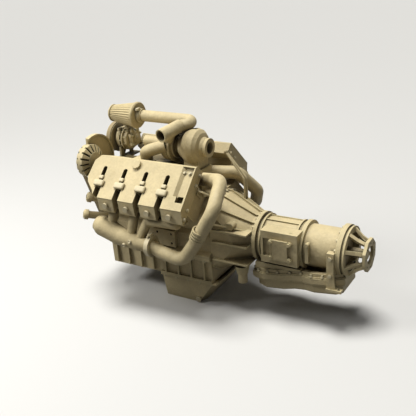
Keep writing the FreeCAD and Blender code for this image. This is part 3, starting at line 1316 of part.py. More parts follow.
def side_cover():
    """Square plate on the side pad with its corner bolts."""
    face = -side_pad_reach
    plate = block_between((pad_x[0] + 60.0, pad_x[1] - 44.0), (face - 10.0, face), (-40.0, 58.0))
    corners = [(x, z) for x in (pad_x[0] + 52.0, pad_x[1] - 36.0) for z in (-30.0, 46.0)]
    ears = [Part.makeCylinder(12.0, 10.0, vec(x, face - 10.0, z), AXIS_Y) for x, z in corners]
    bolts = [hex_bolt(vec(x, face - 10.0, z), vec(0, -1, 0), 8.0, 7.0) for x, z in corners]
    return joined([plate] + ears + bolts)


def rear_case():
    """Drum behind the main case, with the side fin and the bearing wall for the output shaft."""
    x0, x1 = x_ring_b, x_ring_c
    bearing = output_shaft_radius + running_clearance
    outline = [(x0, main_case_radius - 40.0), (x0, ring_b_radius), (x0 + flange_thickness, ring_b_radius),
               (x0 + flange_thickness, rear_case_radius), (x1 - flange_thickness, rear_case_radius),
               (x1 - flange_thickness, ring_c_radius), (x1, ring_c_radius), (x1, bearing),
               (x1 - 40.0, bearing),
               (x1 - 40.0, 60.0), (x1 - 24.0, rear_case_radius - case_wall),
               (x0 + 14.0, rear_case_radius - case_wall),
               (x0 + 14.0, main_case_radius - 40.0)]
    drum = turned_x(outline)
    fin = prism_y([(x0 + 26.0, -40.0), (x0 + 26.0, 40.0), (x0 + 34.0, 52.0), (x0 + 42.0, 40.0),
                   (x0 + 42.0, -40.0)],
                  -rear_case_radius - 16.0, -rear_case_radius + 16.0)
    knob = Part.makeCylinder(10.0, 24.0, vec(x0 + 34.0, -rear_case_radius - 20.0, 46.0), AXIS_Y)
    core = cylinder_x(rear_case_radius - case_wall, x0 + 14.0, x1 - 24.0)
    return joined([drum, fin.cut(core), knob.cut(core)]).cut(pan_block())


def tail_cage():
    """Open adapter: a ring on the drum, curved struts and the octagonal tail flange."""
    x0, x1 = x_ring_c, 0.0
    ring = ring_x(ring_c_radius, rear_case_radius - 8.0, x0, x0 + flange_thickness + 4.0)
    step = turned_x([(x0 + 22.0, rear_case_radius - 8.0), (x0 + 22.0, ring_c_radius - 4.0),
                     (x0 + 30.0, ring_c_radius - 4.0), (x0 + 30.0, rear_case_radius - 8.0)])
    sleeve = ring_x(ring_c_radius - 12.0, rear_case_radius - 8.0, x0, x0 + 30.0)
    octagon = [(tail_flange_radius * math.sin(math.radians(45.0 * k + 22.5)),
                tail_flange_radius * math.cos(math.radians(45.0 * k + 22.5))) for k in range(8)]
    flange = prism_x(octagon, x1 - tail_flange_thickness, x1)
    bolt_hole = cylinder_x(tail_bolt_radius, x1 - tail_flange_thickness, x1, 0.0, tail_bolt_circle)
    strut_outline = [(x0 + 26.0, ring_c_radius - 22.0), (x0 + 26.0, ring_c_radius - 8.0),
                     (x0 + 44.0, ring_c_radius - 22.0), (x0 + 66.0, ring_c_radius - 40.0),
                     (x1 - 12.0, tail_flange_radius - 12.0),
                     (x1 - 12.0, tail_flange_radius - 24.0), (x0 + 62.0, ring_c_radius - 52.0),
                     (x0 + 38.0, ring_c_radius - 34.0)]
    strut = prism_y(strut_outline, -strut_width / 2.0, strut_width / 2.0)
    struts = pattern_about_x(strut, strut_count, first=22.5)
    cage = joined([ring, step, sleeve, flange] + struts)
    holes = [cylinder_x(tail_flange_bore, x1 - tail_flange_thickness, x1)]
    return cut_all(cage, holes + pattern_about_x(bolt_hole, tail_bolt_count) + [pan_block()])


def output_shaft():
    """Splined shaft through the rear bearing wall, ending in the tail flange's bore."""
    shaft = cylinder_x(output_shaft_radius, x_ring_c - 90.0, -36.0)
    spline = block_between((-70.0, -10.0), (-2.0, 2.0),
                           (output_shaft_radius - 6.0, output_shaft_radius - 0.5))
    stub = cylinder_x(output_shaft_radius - 4.0, -36.0, -10.0)
    hub = cylinder_x(52.0, x_ring_c - 90.0, x_ring_c - 60.0)
    return joined([shaft, stub, hub] + pattern_about_x(spline, 12))


def pan_plan(margin):
    """Wavy plan of the gearbox pan, pulled in by margin."""
    half = [(0.0, 96.0), (60.0, 118.0), (150.0, 118.0), (200.0, 104.0), (250.0, 104.0), (300.0, 118.0),
            (400.0, 114.0), (448.0, 92.0)]
    near = [(min(max(x, margin), 448.0 - margin), -(y - margin)) for x, y in half]
    return near + [(x, -y) for x, y in reversed(near)]


def in_pan_place(shape):
    return moved(turned_copy(shape, ORIGIN, AXIS_Y, pan_tilt), pan_hinge)


def pan_block():
    return in_pan_place(prism_z(pan_plan(0.0), -110.0, 0.0))


def transmission_pan():
    """Two-layer pan: rounded upper body and the smaller lower body under it."""
    layers = ((8.0, -16.0, 0.0), (3.0, -22.0, -16.0), (0.0, -48.0, -22.0), (4.0, -56.0, -48.0),
              (12.0, -62.0, -56.0), (17.0, -94.0, -62.0), (23.0, -102.0, -94.0))
    body = [prism_z(pan_plan(margin), low, high) for margin, low, high in layers]
    cavity = prism_z(pan_plan(28.0), -94.0, 0.0)
    return in_pan_place(joined(body).cut(cavity))


def spin_on_filter():
    """Filter under the bell housing: base cup and canister."""
    x, y = x_ring_a - 62.0, -112.0
    cup = Part.makeCone(26.0, 34.0, 40.0, vec(x, y, -154.0), AXIS_Z)
    canister = Part.makeCylinder(22.0, 46.0, vec(x, y, -200.0), AXIS_Z)
    stem = Part.makeCylinder(14.0, 24.0, vec(x, y, -120.0), AXIS_Z)
    return joined([cup, canister, stem])


def mount_bracket():
    """Two cheeks bolted to the tail ring, each with a foot that reaches back to its crossmember hole."""
    x0, x1 = bracket_rear - bracket_depth, bracket_rear
    outer, inner = ring_c_radius + 8.0, rear_case_radius + 1.0
    foot_inner, foot_outer = ring_c_radius - 10.0, bracket_hole_spread / 2.0 + 13.0
    cheeks = []
    for side in (-1, 1):
        cheek = block_between((x0, x1), sorted_range(side, inner, outer), (bracket_foot, 36.0))
        foot = block_between((x0, bracket_hole_x + 15.0), sorted_range(side, foot_inner, foot_outer),
                             (bracket_foot, bracket_foot + bracket_foot_height))
        gusset = prism_y([(x1, bracket_foot), (x1, -72.0), (bracket_hole_x - 12.0, bracket_foot)],
                         *sorted_range(side, ring_c_radius + gap, outer))
        hole = Part.makeCylinder(bracket_hole_radius, bracket_foot_height,
                                 vec(bracket_hole_x, side * bracket_hole_spread / 2.0, bracket_foot), AXIS_Z)
        cheeks.append(joined([cheek, foot, gusset]).cut(hole))
    clear = cylinder_x(rear_case_radius, x0, x1)
    return Part.makeCompound([cut_all(cheek, [clear, pan_block(), tail_cage()]) for cheek in cheeks])


def dipstick_tube():
    """Gearbox filler tube and its vent line, side by side, from the bell housing's flank."""
    bell = bell_housing()
    lines = []
    for offset, radius in ((0.0, 7.0), (17.0, 4.5)):
        y = gauge_tube_top.y - offset
        top = vec(gauge_tube_top.x + 0.6 * offset, y, gauge_tube_top.z)
        knee = vec(gauge_tube_top.x + 100.0, y, gauge_tube_top.z - 117.0)
        foot = vec(knee.x, y, 146.0)
        line = swept_rod([top, knee, foot], (30.0,), radius)
        lines.append(line.cut(bell))
    knob = Part.makeSphere(11.0, gauge_tube_top)
    return Part.makeCompound([joined([lines[0], knob]), lines[1]])


def flange_bolts():
    """Hexagon bolts round the gearbox flanges, where nothing stands in their way."""
    bolts = []
    rows = ((x_ring_a - flange_thickness, ring_a_radius - 4.8, (-72.0, -48.0, -24.0, 0.0, 24.0, 48.0, 72.0),
             4.5),
            (x_ring_c - flange_thickness, ring_c_radius - 8.0, tuple(22.5 * k for k in range(-3, 4)), 6.0))
    for x, circle, angles, radius in rows:
        for angle in angles:
            bolt = hex_bolt(vec(x, 0, circle), vec(-1, 0, 0), radius, 7.0)
            bolts.append(turned_copy(bolt, ORIGIN, AXIS_X, angle))
    for side in (-1, 1):
        for z in (-70.0, 12.0):
            foot = vec(bracket_rear - bracket_depth / 2.0, side * (ring_c_radius + 8.0), z)
            bolts.append(hex_bolt(foot, vec(0, side, 0), 8.0, 7.0))
    return Part.makeCompound(bolts + [drain_plug()])


def selector_lever():
    """Shift lever on the far side of the main case, on its own shaft."""
    hub = Part.makeCylinder(13.0, 9.0, lever_pivot + vec(0, 12.0, 0), AXIS_Y)
    arm = block_between((-9.0, 9.0), (12.0, 17.0), (0.0, 62.0))
    arm = moved(arm, lever_pivot)
    tip = Part.makeCylinder(11.0, 5.0, lever_pivot + vec(0, 12.0, 62.0), AXIS_Y)
    shaft = Part.makeCylinder(lever_shaft_radius, 42.0, lever_pivot - vec(0, 30.0, 0), AXIS_Y)
    hole = Part.makeCylinder(4.0, 5.0, lever_pivot + vec(0, 12.0, 62.0), AXIS_Y)
    return joined([hub, arm, tip, shaft]).cut(hole)


def both_banks(make):
    return Part.makeCompound([on_left_bank(make()), on_right_bank(make())])


def both_sides(shape):
    """A left-hand shape and its mirror image on the right bank's stagger."""
    return [shape, moved(shape.mirror(ORIGIN, AXIS_Y), vec(-bank_stagger, 0, 0))]


NODES = {
    "engine_block": engine_block,
    "main_bearings": lambda: Part.makeCompound([main_bearing_caps(), main_bearings()]),
    "crankshaft": crankshaft,
    "crank_gear": crank_gear,
    "cam_gear": cam_gear,
    "camshaft": camshaft,
    "timing_cover": timing_cover,
    "head_gaskets": lambda: both_banks(head_gasket),
    "cylinder_head_left": lambda: on_left_bank(cylinder_head()),
    "cylinder_head_right": lambda: on_right_bank(cylinder_head()),
    "valve_cover_left": lambda: on_left_bank(valve_cover()),
    "valve_cover_right": lambda: on_right_bank(valve_cover()),
    "cover_bolts": lambda: both_banks(cover_bolts),
    "oil_filler_cap": filler_cap,
    "lifting_eye": lambda: on_left_bank(lifting_eye()),
    "exhaust_manifolds": lambda: Part.makeCompound(both_sides(exhaust_manifold())),
    "pipe_clamps": lambda: Part.makeCompound(both_sides(vband_clamp()) + [hose_clamps()]),
    "up_pipes": lambda: Part.makeCompound([joined([up_pipe()] + bellows()), right_up_pipe()]),
    "turbo_pedestal": turbo_pedestal,
    "turbine_housing": turbine_housing,
    "bearing_housing": bearing_housing,
    "compressor_housing": compressor_housing,
    "turbo_rotor": turbo_rotor,
    "air_filter": air_filter,
    "intake_pipes": lambda: Part.makeCompound([intake_pipe(), charge_duct()]),
    "intake_plenum": intake_plenum,
    "accessory_bracket": accessory_bracket,
    "crank_damper": crank_damper,
    "water_pump": water_pump,
    "water_pump_pulley": lambda: shafted_pulley(water_pulley, x_timing_front - 6.0),
    "alternator_housing": alternator_housing,
    "alternator_pulley": lambda: shafted_pulley(alternator_pulley,
                                                alternator_front + alternator_length - 17.0),
    "ac_compressor": ac_compressor,
    "ac_pulley": lambda: shafted_pulley(compressor_pulley,
                                        compressor_body_front + compressor_body_length - 26.0),
    "tensioner_arm": tensioner_arm,
    "tensioner_pulley": lambda: pulley(tension_pulley),
    "serpentine_belt": serpentine_belt,
    "upper_oil_pan": upper_oil_pan,
    "oil_sump": oil_sump,
    "bell_housing": bell_housing,
    "torque_converter": lambda: Part.makeCompound([flexplate(), torque_converter()]),
    "main_case": main_case,
    "side_cover": side_cover,
    "rear_case": rear_case,
    "tail_cage": tail_cage,
    "output_shaft": output_shaft,
    "transmission_pan": transmission_pan,
    "spin_on_filter": spin_on_filter,
    "mount_bracket": mount_bracket,
    "dipstick_tube": dipstick_tube,
    "flange_bolts": flange_bolts,
    "selector_lever": selector_lever,
}
for cylinder_index in range(cylinders_per_bank):
    for bank_name, bank_side in (("left", -1), ("right", 1)):
        piston_name = "piston_%s_%d" % (bank_name, cylinder_index + 1)
        NODES[piston_name] = lambda k=cylinder_index, side=bank_side: piston(k, side)

os.makedirs("parts", exist_ok=True)
for name, make in NODES.items():
    make().exportStep("parts/%s.step" % name)
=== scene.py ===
"""Turbocharged V8 engine with its gearbox: finishes, small fastenings and stage."""

import math

import bmesh
import bpy
from bpy.props import FloatProperty, FloatVectorProperty, IntProperty, PointerProperty
from mathutils import Matrix, Vector


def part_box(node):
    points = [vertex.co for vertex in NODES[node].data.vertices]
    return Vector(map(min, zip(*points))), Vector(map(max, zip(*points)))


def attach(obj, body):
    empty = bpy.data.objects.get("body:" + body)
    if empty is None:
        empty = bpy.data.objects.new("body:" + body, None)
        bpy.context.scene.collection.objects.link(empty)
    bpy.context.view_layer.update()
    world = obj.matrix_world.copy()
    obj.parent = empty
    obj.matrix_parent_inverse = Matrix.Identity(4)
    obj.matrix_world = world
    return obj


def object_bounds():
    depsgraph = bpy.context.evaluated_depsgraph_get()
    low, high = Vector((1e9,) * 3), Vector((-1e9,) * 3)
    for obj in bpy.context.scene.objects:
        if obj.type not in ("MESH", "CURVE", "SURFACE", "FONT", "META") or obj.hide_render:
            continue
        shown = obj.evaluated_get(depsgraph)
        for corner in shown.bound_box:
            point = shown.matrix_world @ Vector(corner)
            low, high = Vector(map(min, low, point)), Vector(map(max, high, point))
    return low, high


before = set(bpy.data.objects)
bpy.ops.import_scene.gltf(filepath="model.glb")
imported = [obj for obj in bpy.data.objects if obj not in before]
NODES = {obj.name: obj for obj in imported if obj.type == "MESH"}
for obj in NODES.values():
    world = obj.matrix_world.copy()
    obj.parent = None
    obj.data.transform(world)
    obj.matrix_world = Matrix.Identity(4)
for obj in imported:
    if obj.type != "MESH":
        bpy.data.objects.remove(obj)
cad_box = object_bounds()

bl_info = {
    "name": "Turbocharged V8 engine",
    "version": (1, 0, 0),
    "blender": (4, 5, 0),
    "location": "3D View > Sidebar > V8 engine",
    "description": "Finishes the engine's parts and adds its bolts, bands, nuts and pipes",
    "category": "Object",
}

BANK_SLOPE = math.sqrt(0.5)
BANK_STAGGER = 0.026
CYLINDERS_X = (-0.803, -0.921, -1.039, -1.157)
TURBO_HEIGHT = 0.400
HEAD_TOP = 0.330
COVER_TOP = 0.394
COMPRESSOR_Y, COMPRESSOR_Z = 0.110, 0.364
BELL_BOLT_RADIUS = 0.1918
GEARBOX_PAN_TILT = math.radians(6.2)
CAMERA_ANGLE = math.radians(33.94)

CAST_NODES = (
    "engine_block", "cylinder_head_left", "cylinder_head_right", "turbo_pedestal", "turbine_housing",
    "bearing_housing", "exhaust_manifolds",
)
COVER_NODES = (
    "timing_cover", "valve_cover_left", "valve_cover_right", "oil_filler_cap", "compressor_housing",
    "intake_plenum", "accessory_bracket", "water_pump", "alternator_housing", "ac_compressor",
    "tensioner_arm", "upper_oil_pan", "bell_housing", "main_case", "side_cover", "rear_case", "tail_cage",
)
PIPE_NODES = (
    "up_pipes", "intake_pipes", "lifting_eye", "oil_sump", "transmission_pan", "spin_on_filter",
    "mount_bracket", "dipstick_tube", "selector_lever", "crank_damper", "water_pump_pulley",
    "alternator_pulley", "ac_pulley", "tensioner_pulley", "output_shaft",
)
FASTENER_NODES = ("cover_bolts", "flange_bolts", "pipe_clamps")
STEEL_NODES = (
    "main_bearings", "crankshaft", "crank_gear", "cam_gear", "camshaft", "turbo_rotor", "torque_converter",
)
PISTON_NODES = tuple("piston_%s_%d" % (bank, k) for bank in ("left", "right") for k in (1, 2, 3, 4))


# ---- Settings a user would change ----

class EngineColours(bpy.types.PropertyGroup):
    casting: FloatVectorProperty(
        name="Casting", description="Colour of the block, heads and hot housings", subtype="COLOR",
        size=3, min=0.0, max=1.0, default=(0.67, 0.555, 0.315))
    cover: FloatVectorProperty(
        name="Covers", description="Colour of the covers and the gearbox cases", subtype="COLOR",
        size=3, min=0.0, max=1.0, default=(0.72, 0.60, 0.345))
    pipe: FloatVectorProperty(
        name="Pipes and pans", description="Colour of the pipes, pans and pulleys", subtype="COLOR",
        size=3, min=0.0, max=1.0, default=(0.69, 0.575, 0.33))
    fastener: FloatVectorProperty(
        name="Fasteners", description="Colour of the bolts, nuts and bands", subtype="COLOR",
        size=3, min=0.0, max=1.0, default=(0.78, 0.68, 0.44))
    # Painted shade: the dark colour that the ambient-occlusion mask in cast_finish mixes into corners, slots
    # and gaps, standing in for the shade that falls there.
    painted_recess_shade: FloatVectorProperty(
        name="Recesses", description="Colour the finish takes in corners and slots", subtype="COLOR",
        size=3, min=0.0, max=1.0, default=(0.045, 0.030, 0.013))
    rubber: FloatVectorProperty(
        name="Belt", description="Colour of the ribbed belt", subtype="COLOR",
        size=3, min=0.0, max=1.0, default=(0.40, 0.32, 0.18))
    steel: FloatVectorProperty(
        name="Machined steel", description="Colour of the shafts and gears inside", subtype="COLOR",
        size=3, min=0.0, max=1.0, default=(0.52, 0.51, 0.49))
    alloy: FloatVectorProperty(
        name="Piston alloy", description="Colour of the pistons", subtype="COLOR",
        size=3, min=0.0, max=1.0, default=(0.72, 0.72, 0.70))
    floor: FloatVectorProperty(
        name="Floor", description="Colour of the floor and backdrop", subtype="COLOR",
        size=3, min=0.0, max=1.0, default=(0.68, 0.68, 0.67))


class EngineSizes(bpy.types.PropertyGroup):
    edge_round: FloatProperty(
        name="Edge rounding", description="Radius at which cast edges catch the light", subtype="DISTANCE",
        unit="LENGTH", default=0.003, min=0.0, max=0.02)
    bolt_head: FloatProperty(
        name="Bolt head", description="Half the width of a small flanged bolt's head", subtype="DISTANCE",
        unit="LENGTH", default=0.0075, min=0.002, max=0.03)
    bolt_height: FloatProperty(
        name="Bolt height", description="Height of a small flanged bolt's head", subtype="DISTANCE",
        unit="LENGTH", default=0.009, min=0.002, max=0.03)
    band_width: FloatProperty(
        name="Band width", description="Width of the turbocharger's clamp bands", subtype="DISTANCE",
        unit="LENGTH", default=0.016, min=0.006, max=0.04)
    rail_bolts: IntProperty(
        name="Pan rail bolts", description="Bolts along each side of the oil pans", default=9, min=3, max=16)
    bell_bolts: IntProperty(
        name="Bell housing bolts", description="Bolts round the bell housing's mouth",
        default=12, min=4, max=24)
    feed_radius: FloatProperty(
        name="Oil feed radius", description="Radius of the turbocharger's oil feed pipe", subtype="DISTANCE",
        unit="LENGTH", default=0.006, min=0.002, max=0.02)
    floor_reach: FloatProperty(
        name="Floor reach", description="How far the floor runs from the engine", subtype="DISTANCE",
        unit="LENGTH", default=24.0, min=2.0, max=60.0)


def colours():
    return bpy.context.scene.engine_colours


def sizes():
    return bpy.context.scene.engine_sizes


# ---- Materials ----

def new_material(name):
    material = bpy.data.materials.new(name)
    material.use_nodes = True
    tree = material.node_tree
    tree.nodes.clear()
    shader = tree.nodes.new("ShaderNodeBsdfPrincipled")
    output = tree.nodes.new("ShaderNodeOutputMaterial")
    tree.links.new(shader.outputs["BSDF"], output.inputs["Surface"])
    return material, tree, shader


def noise(tree, place, scale, detail=4.0, roughness=0.55):
    texture = tree.nodes.new("ShaderNodeTexNoise")
    texture.inputs["Scale"].default_value = scale
    texture.inputs["Detail"].default_value = detail
    texture.inputs["Roughness"].default_value = roughness
    tree.links.new(place, texture.inputs["Vector"])
    return texture.outputs["Fac"]


def ramp(tree, factor, stops):
    node = tree.nodes.new("ShaderNodeValToRGB")
    elements = node.color_ramp.elements
    while len(elements) < len(stops):
        elements.new(0.5)
    for element, (position, colour) in zip(elements, stops):
        element.position = position
        element.color = (*colour, 1.0)
    tree.links.new(factor, node.inputs["Fac"])
    return node.outputs["Color"]


def mix(tree, factor, first, second, blend="MIX"):
    node = tree.nodes.new("ShaderNodeMix")
    node.data_type = "RGBA"
    node.blend_type = blend
    if hasattr(factor, "is_linked"):
        tree.links.new(factor, node.inputs["Factor"])
    else:
        node.inputs["Factor"].default_value = factor
    for socket, value in ((node.inputs[6], first), (node.inputs[7], second)):
        if hasattr(value, "is_linked"):
            tree.links.new(value, socket)
        else:
            socket.default_value = (*value, 1.0)
    return node.outputs[2]


def shade(colour, amount):
    return tuple(min(1.0, max(0.0, channel * amount)) for channel in colour)


def cast_finish(name, colour, roughness, grain, grain_depth, rounding):
    """Matte cast finish: cloudy tone, painted shade in corners, painted highlight on edges, fine grain and
    rounded edges.
    """
    material, tree, shader = new_material(name)
    place = tree.nodes.new("ShaderNodeTexCoord").outputs["Object"]
    cloud = noise(tree, place, 7.0, 5.0, 0.6)
    tone = ramp(tree, cloud, ((0.30, shade(colour, 0.86)), (0.72, shade(colour, 1.12))))
    speck = ramp(tree, noise(tree, place, 95.0, 3.0, 0.7),
                 ((0.35, (0.90, 0.90, 0.90)), (0.65, (1.0, 1.0, 1.0))))
    base = mix(tree, 1.0, tone, speck, "MULTIPLY")

    # Painted shade: an ambient-occlusion mask darkens corners, slots and gaps towards the recess colour,
    # standing in for the shade there.
    corner = tree.nodes.new("ShaderNodeAmbientOcclusion")
    corner.samples = 6
    corner.inputs["Distance"].default_value = 0.10
    depth = ramp(tree, corner.outputs["AO"], ((0.10, (1.0, 1.0, 1.0)), (0.78, (0.0, 0.0, 0.0))))
    base = mix(tree, depth, base, tuple(colours().painted_recess_shade))

    bevel = tree.nodes.new("ShaderNodeBevel")
    bevel.samples = 4
    bevel.inputs["Radius"].default_value = rounding
    geometry = tree.nodes.new("ShaderNodeNewGeometry")
    turn = tree.nodes.new("ShaderNodeVectorMath")
    turn.operation = "DOT_PRODUCT"
    tree.links.new(bevel.outputs["Normal"], turn.inputs[0])
    tree.links.new(geometry.outputs["Normal"], turn.inputs[1])
    # Painted highlight: where the bevel-rounded normal turns away from the face's normal, along the cast
    # edges, the colour is lightened 1.6 times, standing in for light the edges catch.
    painted_edge_highlight = ramp(tree, turn.outputs["Value"], ((0.80, (1.0, 1.0, 1.0)), (0.995, (0.0, 0.0, 0.0))))
    base = mix(tree, painted_edge_highlight, base, mix(tree, 0.75, base, shade(colour, 1.6)))
    tree.links.new(base, shader.inputs["Base Color"])

    rough = ramp(tree, noise(tree, place, 40.0),
                 ((0.3, (roughness - 0.08,) * 3), (0.7, (roughness + 0.08,) * 3)))
    tree.links.new(rough, shader.inputs["Roughness"])
    shader.inputs["Specular IOR Level"].default_value = 0.42
    bump = tree.nodes.new("ShaderNodeBump")
    bump.inputs["Strength"].default_value = grain_depth
    bump.inputs["Distance"].default_value = 0.0012
    tree.links.new(noise(tree, place, grain, 4.0, 0.65), bump.inputs["Height"])
    swell = tree.nodes.new("ShaderNodeBump")
    swell.inputs["Strength"].default_value = 0.6
    swell.inputs["Distance"].default_value = 0.004
    tree.links.new(noise(tree, place, 42.0, 2.0, 0.5), swell.inputs["Height"])
    tree.links.new(bevel.outputs["Normal"], swell.inputs["Normal"])
    tree.links.new(swell.outputs["Normal"], bump.inputs["Normal"])
    tree.links.new(bump.outputs["Normal"], shader.inputs["Normal"])
    return material


def steel_finish(name, colour, roughness, ring_scale):
    """Bare turned metal: fine rings round the crank axis over a faint cloud."""
    material, tree, shader = new_material(name)
    place = tree.nodes.new("ShaderNodeTexCoord").outputs["Object"]
    rings = tree.nodes.new("ShaderNodeTexWave")
    rings.wave_type = "BANDS"
    rings.bands_direction = "X"
    rings.inputs["Scale"].default_value = ring_scale
    rings.inputs["Distortion"].default_value = 0.6
    tree.links.new(place, rings.inputs["Vector"])
    cloud = noise(tree, place, 12.0, 4.0, 0.6)
    tone = ramp(tree, cloud, ((0.3, shade(colour, 0.8)), (0.7, shade(colour, 1.15))))
    tree.links.new(tone, shader.inputs["Base Color"])
    rough = ramp(tree, rings.outputs["Fac"], ((0.2, (roughness - 0.06,) * 3), (0.8, (roughness + 0.1,) * 3)))
    tree.links.new(rough, shader.inputs["Roughness"])
    shader.inputs["Metallic"].default_value = 1.0
    bump = tree.nodes.new("ShaderNodeBump")
    bump.inputs["Strength"].default_value = 0.08
    bump.inputs["Distance"].default_value = 0.0004
    tree.links.new(rings.outputs["Fac"], bump.inputs["Height"])
    tree.links.new(bump.outputs["Normal"], shader.inputs["Normal"])
    return material


def seen_ray(tree):
    """1 for the rays that show the backdrop: straight, mirrored or through glass."""
    rays = tree.nodes.new("ShaderNodeLightPath")
    either = tree.nodes.new("ShaderNodeMath")
    either.operation = "MAXIMUM"
    tree.links.new(rays.outputs["Is Camera Ray"], either.inputs[0])
    tree.links.new(rays.outputs["Is Glossy Ray"], either.inputs[1])
    third = tree.nodes.new("ShaderNodeMath")
    third.operation = "MAXIMUM"
    tree.links.new(either.outputs[0], third.inputs[0])
    tree.links.new(rays.outputs["Is Transmission Ray"], third.inputs[1])
    return third.outputs[0]


def dress(node, material):
    """Give a carried-over part its finish."""
    mesh = NODES[node].data
    mesh.materials.clear()
    mesh.materials.append(material)


# ---- Modelling helpers ----

def deselect_all():
    if bpy.context.mode != "OBJECT":
        bpy.ops.object.mode_set(mode="OBJECT")
    bpy.ops.object.select_all(action="DESELECT")


def active_piece(name):
    piece = bpy.context.active_object
    piece.name = name
    piece.data.name = name
    return piece


def select_faces(piece, wanted):
    """In edit mode, select only the faces that the test picks."""
    bpy.ops.mesh.select_mode(type="FACE")
    bpy.ops.mesh.select_all(action="DESELECT")
    mesh = bmesh.from_edit_mesh(piece.data)
    for face in mesh.faces:
        face.select = wanted(face)
    mesh.select_flush(True)
    bmesh.update_edit_mesh(piece.data)


def settle(piece):
    """Move a piece's place into its mesh, so that its object stands at the origin."""
    deselect_all()
    piece.select_set(True)
    bpy.context.view_layer.objects.active = piece
    bpy.ops.object.transform_apply(location=True, rotation=True, scale=True)


def smooth_edges(piece, angle=35.0):
    deselect_all()
    piece.select_set(True)
    bpy.context.view_layer.objects.active = piece
    bpy.ops.object.shade_smooth_by_angle(angle=math.radians(angle))


def copies_at(piece, places):
    """Copies of a piece modelled at the origin along +Z, joined into one object."""
    made = []
    for point, direction in places:
        copy = piece.copy()
        copy.data = piece.data.copy()
        bpy.context.collection.objects.link(copy)
        turn = Vector((0.0, 0.0, 1.0)).rotation_difference(Vector(direction).normalized())
        copy.matrix_world = Matrix.Translation(Vector(point)) @ turn.to_matrix().to_4x4()
        made.append(copy)
    deselect_all()
    for copy in made:
        copy.select_set(True)
    bpy.context.view_layer.objects.active = made[0]
    bpy.ops.object.transform_apply(location=True, rotation=True, scale=True)
    if len(made) > 1:
        bpy.ops.object.join()
    joined = bpy.context.active_object
    mesh = piece.data
    bpy.data.objects.remove(piece)
    bpy.data.meshes.remove(mesh)
    return joined


def flanged_bolt(name, head, height):
    """Hexagon head on a washer face, with a chamfered crown and a dished top."""
    deselect_all()
    bpy.ops.mesh.primitive_cylinder_add(vertices=24, radius=head * 1.32, depth=height * 0.28,
                                        location=(0.0, 0.0, height * 0.14))
    washer = active_piece(name + "_washer")
    bevel = washer.modifiers.new("Rim", "BEVEL")
    bevel.width = height * 0.1
    bevel.segments = 2
    bevel.limit_method = "ANGLE"
    bpy.ops.object.modifier_apply(modifier=bevel.name)
    deselect_all()
    bpy.ops.mesh.primitive_cylinder_add(vertices=6, radius=head, depth=height * 0.8,
                                        location=(0.0, 0.0, height * 0.6))
    hexagon = active_piece(name)
    bpy.ops.object.mode_set(mode="EDIT")
    select_faces(hexagon, lambda face: face.normal.z > 0.9)
    bpy.ops.mesh.inset(thickness=head * 0.18, depth=height * 0.1)
    bpy.ops.mesh.inset(thickness=head * 0.34, depth=0.0)
    bpy.ops.transform.translate(value=(0.0, 0.0, -height * 0.12))
    bpy.ops.object.mode_set(mode="OBJECT")
    washer.select_set(True)
    hexagon.select_set(True)
    bpy.context.view_layer.objects.active = hexagon
    bpy.ops.object.transform_apply(location=True, rotation=True, scale=True)
    bpy.ops.object.join()
    return bpy.context.active_object


def shaped_disc(name, radius, depth, steps):
    """A turned fitting on +Z: a disc whose top face is inset and raised in turn by the steps."""
    deselect_all()
    bpy.ops.mesh.primitive_cylinder_add(vertices=32, radius=radius, depth=depth,
                                        location=(0.0, 0.0, depth / 2.0))
    piece = active_piece(name)
    bpy.ops.object.mode_set(mode="EDIT")
    select_faces(piece, lambda face: face.normal.z > 0.9)
    for inset, rise in steps:
        if inset:
            bpy.ops.mesh.inset(thickness=inset, depth=0.0)
        if rise:
            bpy.ops.mesh.extrude_region_move(TRANSFORM_OT_translate={"value": (0.0, 0.0, rise)})
    bpy.ops.object.mode_set(mode="OBJECT")
    bpy.ops.object.transform_apply(location=True, rotation=True, scale=True)
    return soften(piece, radius * 0.06)


def soften(piece, width):
    """Round a piece's sharp edges a little."""
    deselect_all()
    piece.select_set(True)
    bpy.context.view_layer.objects.active = piece
    bevel = piece.modifiers.new("Soft edges", "BEVEL")
    bevel.width = width
    bevel.segments = 2
    bevel.limit_method = "ANGLE"
    bevel.angle_limit = math.radians(40.0)
    bpy.ops.object.modifier_apply(modifier=bevel.name)
    return piece


def clamp_band(name, x, radius, width):
    """A round band on the turbocharger's axis with its two lugs and tightening bolt."""
    deselect_all()
    bpy.ops.mesh.primitive_cylinder_add(vertices=96, radius=radius, depth=width, end_fill_type="NOTHING",
                                        location=(x, 0.0, TURBO_HEIGHT),
                                        rotation=(0.0, math.radians(90.0), 0.0))
    band = active_piece(name)
    wall = band.modifiers.new("Wall", "SOLIDIFY")
    wall.thickness = 0.004
    wall.offset = 1.0
    bpy.ops.object.modifier_apply(modifier=wall.name)
    bpy.ops.object.transform_apply(location=True, rotation=True, scale=True)
    soften(band, 0.0012)
    parts = [band]
    for side in (-1.0, 1.0):
        deselect_all()
        bpy.ops.mesh.primitive_cube_add(size=1.0, location=(x, side * 0.009, TURBO_HEIGHT + radius + 0.0075),
                                        scale=(width * 0.8, 0.005, 0.017))
        lug = active_piece(name + "_lug")
        bpy.ops.object.transform_apply(location=True, rotation=True, scale=True)
        parts.append(soften(lug, 0.0012))
    bolt = flanged_bolt(name + "_bolt", 0.0055, 0.007)
    parts.append(copies_at(bolt, (((x, -0.0112, TURBO_HEIGHT + radius + 0.010), (0.0, -1.0, 0.0)),
                                  ((x, 0.0112, TURBO_HEIGHT + radius + 0.010), (0.0, 1.0, 0.0)))))
    return join_all(parts)


def join_all(pieces):
    deselect_all()
    for piece in pieces:
        piece.select_set(True)
    bpy.context.view_layer.objects.active = pieces[0]
    bpy.ops.object.join()
    return bpy.context.active_object


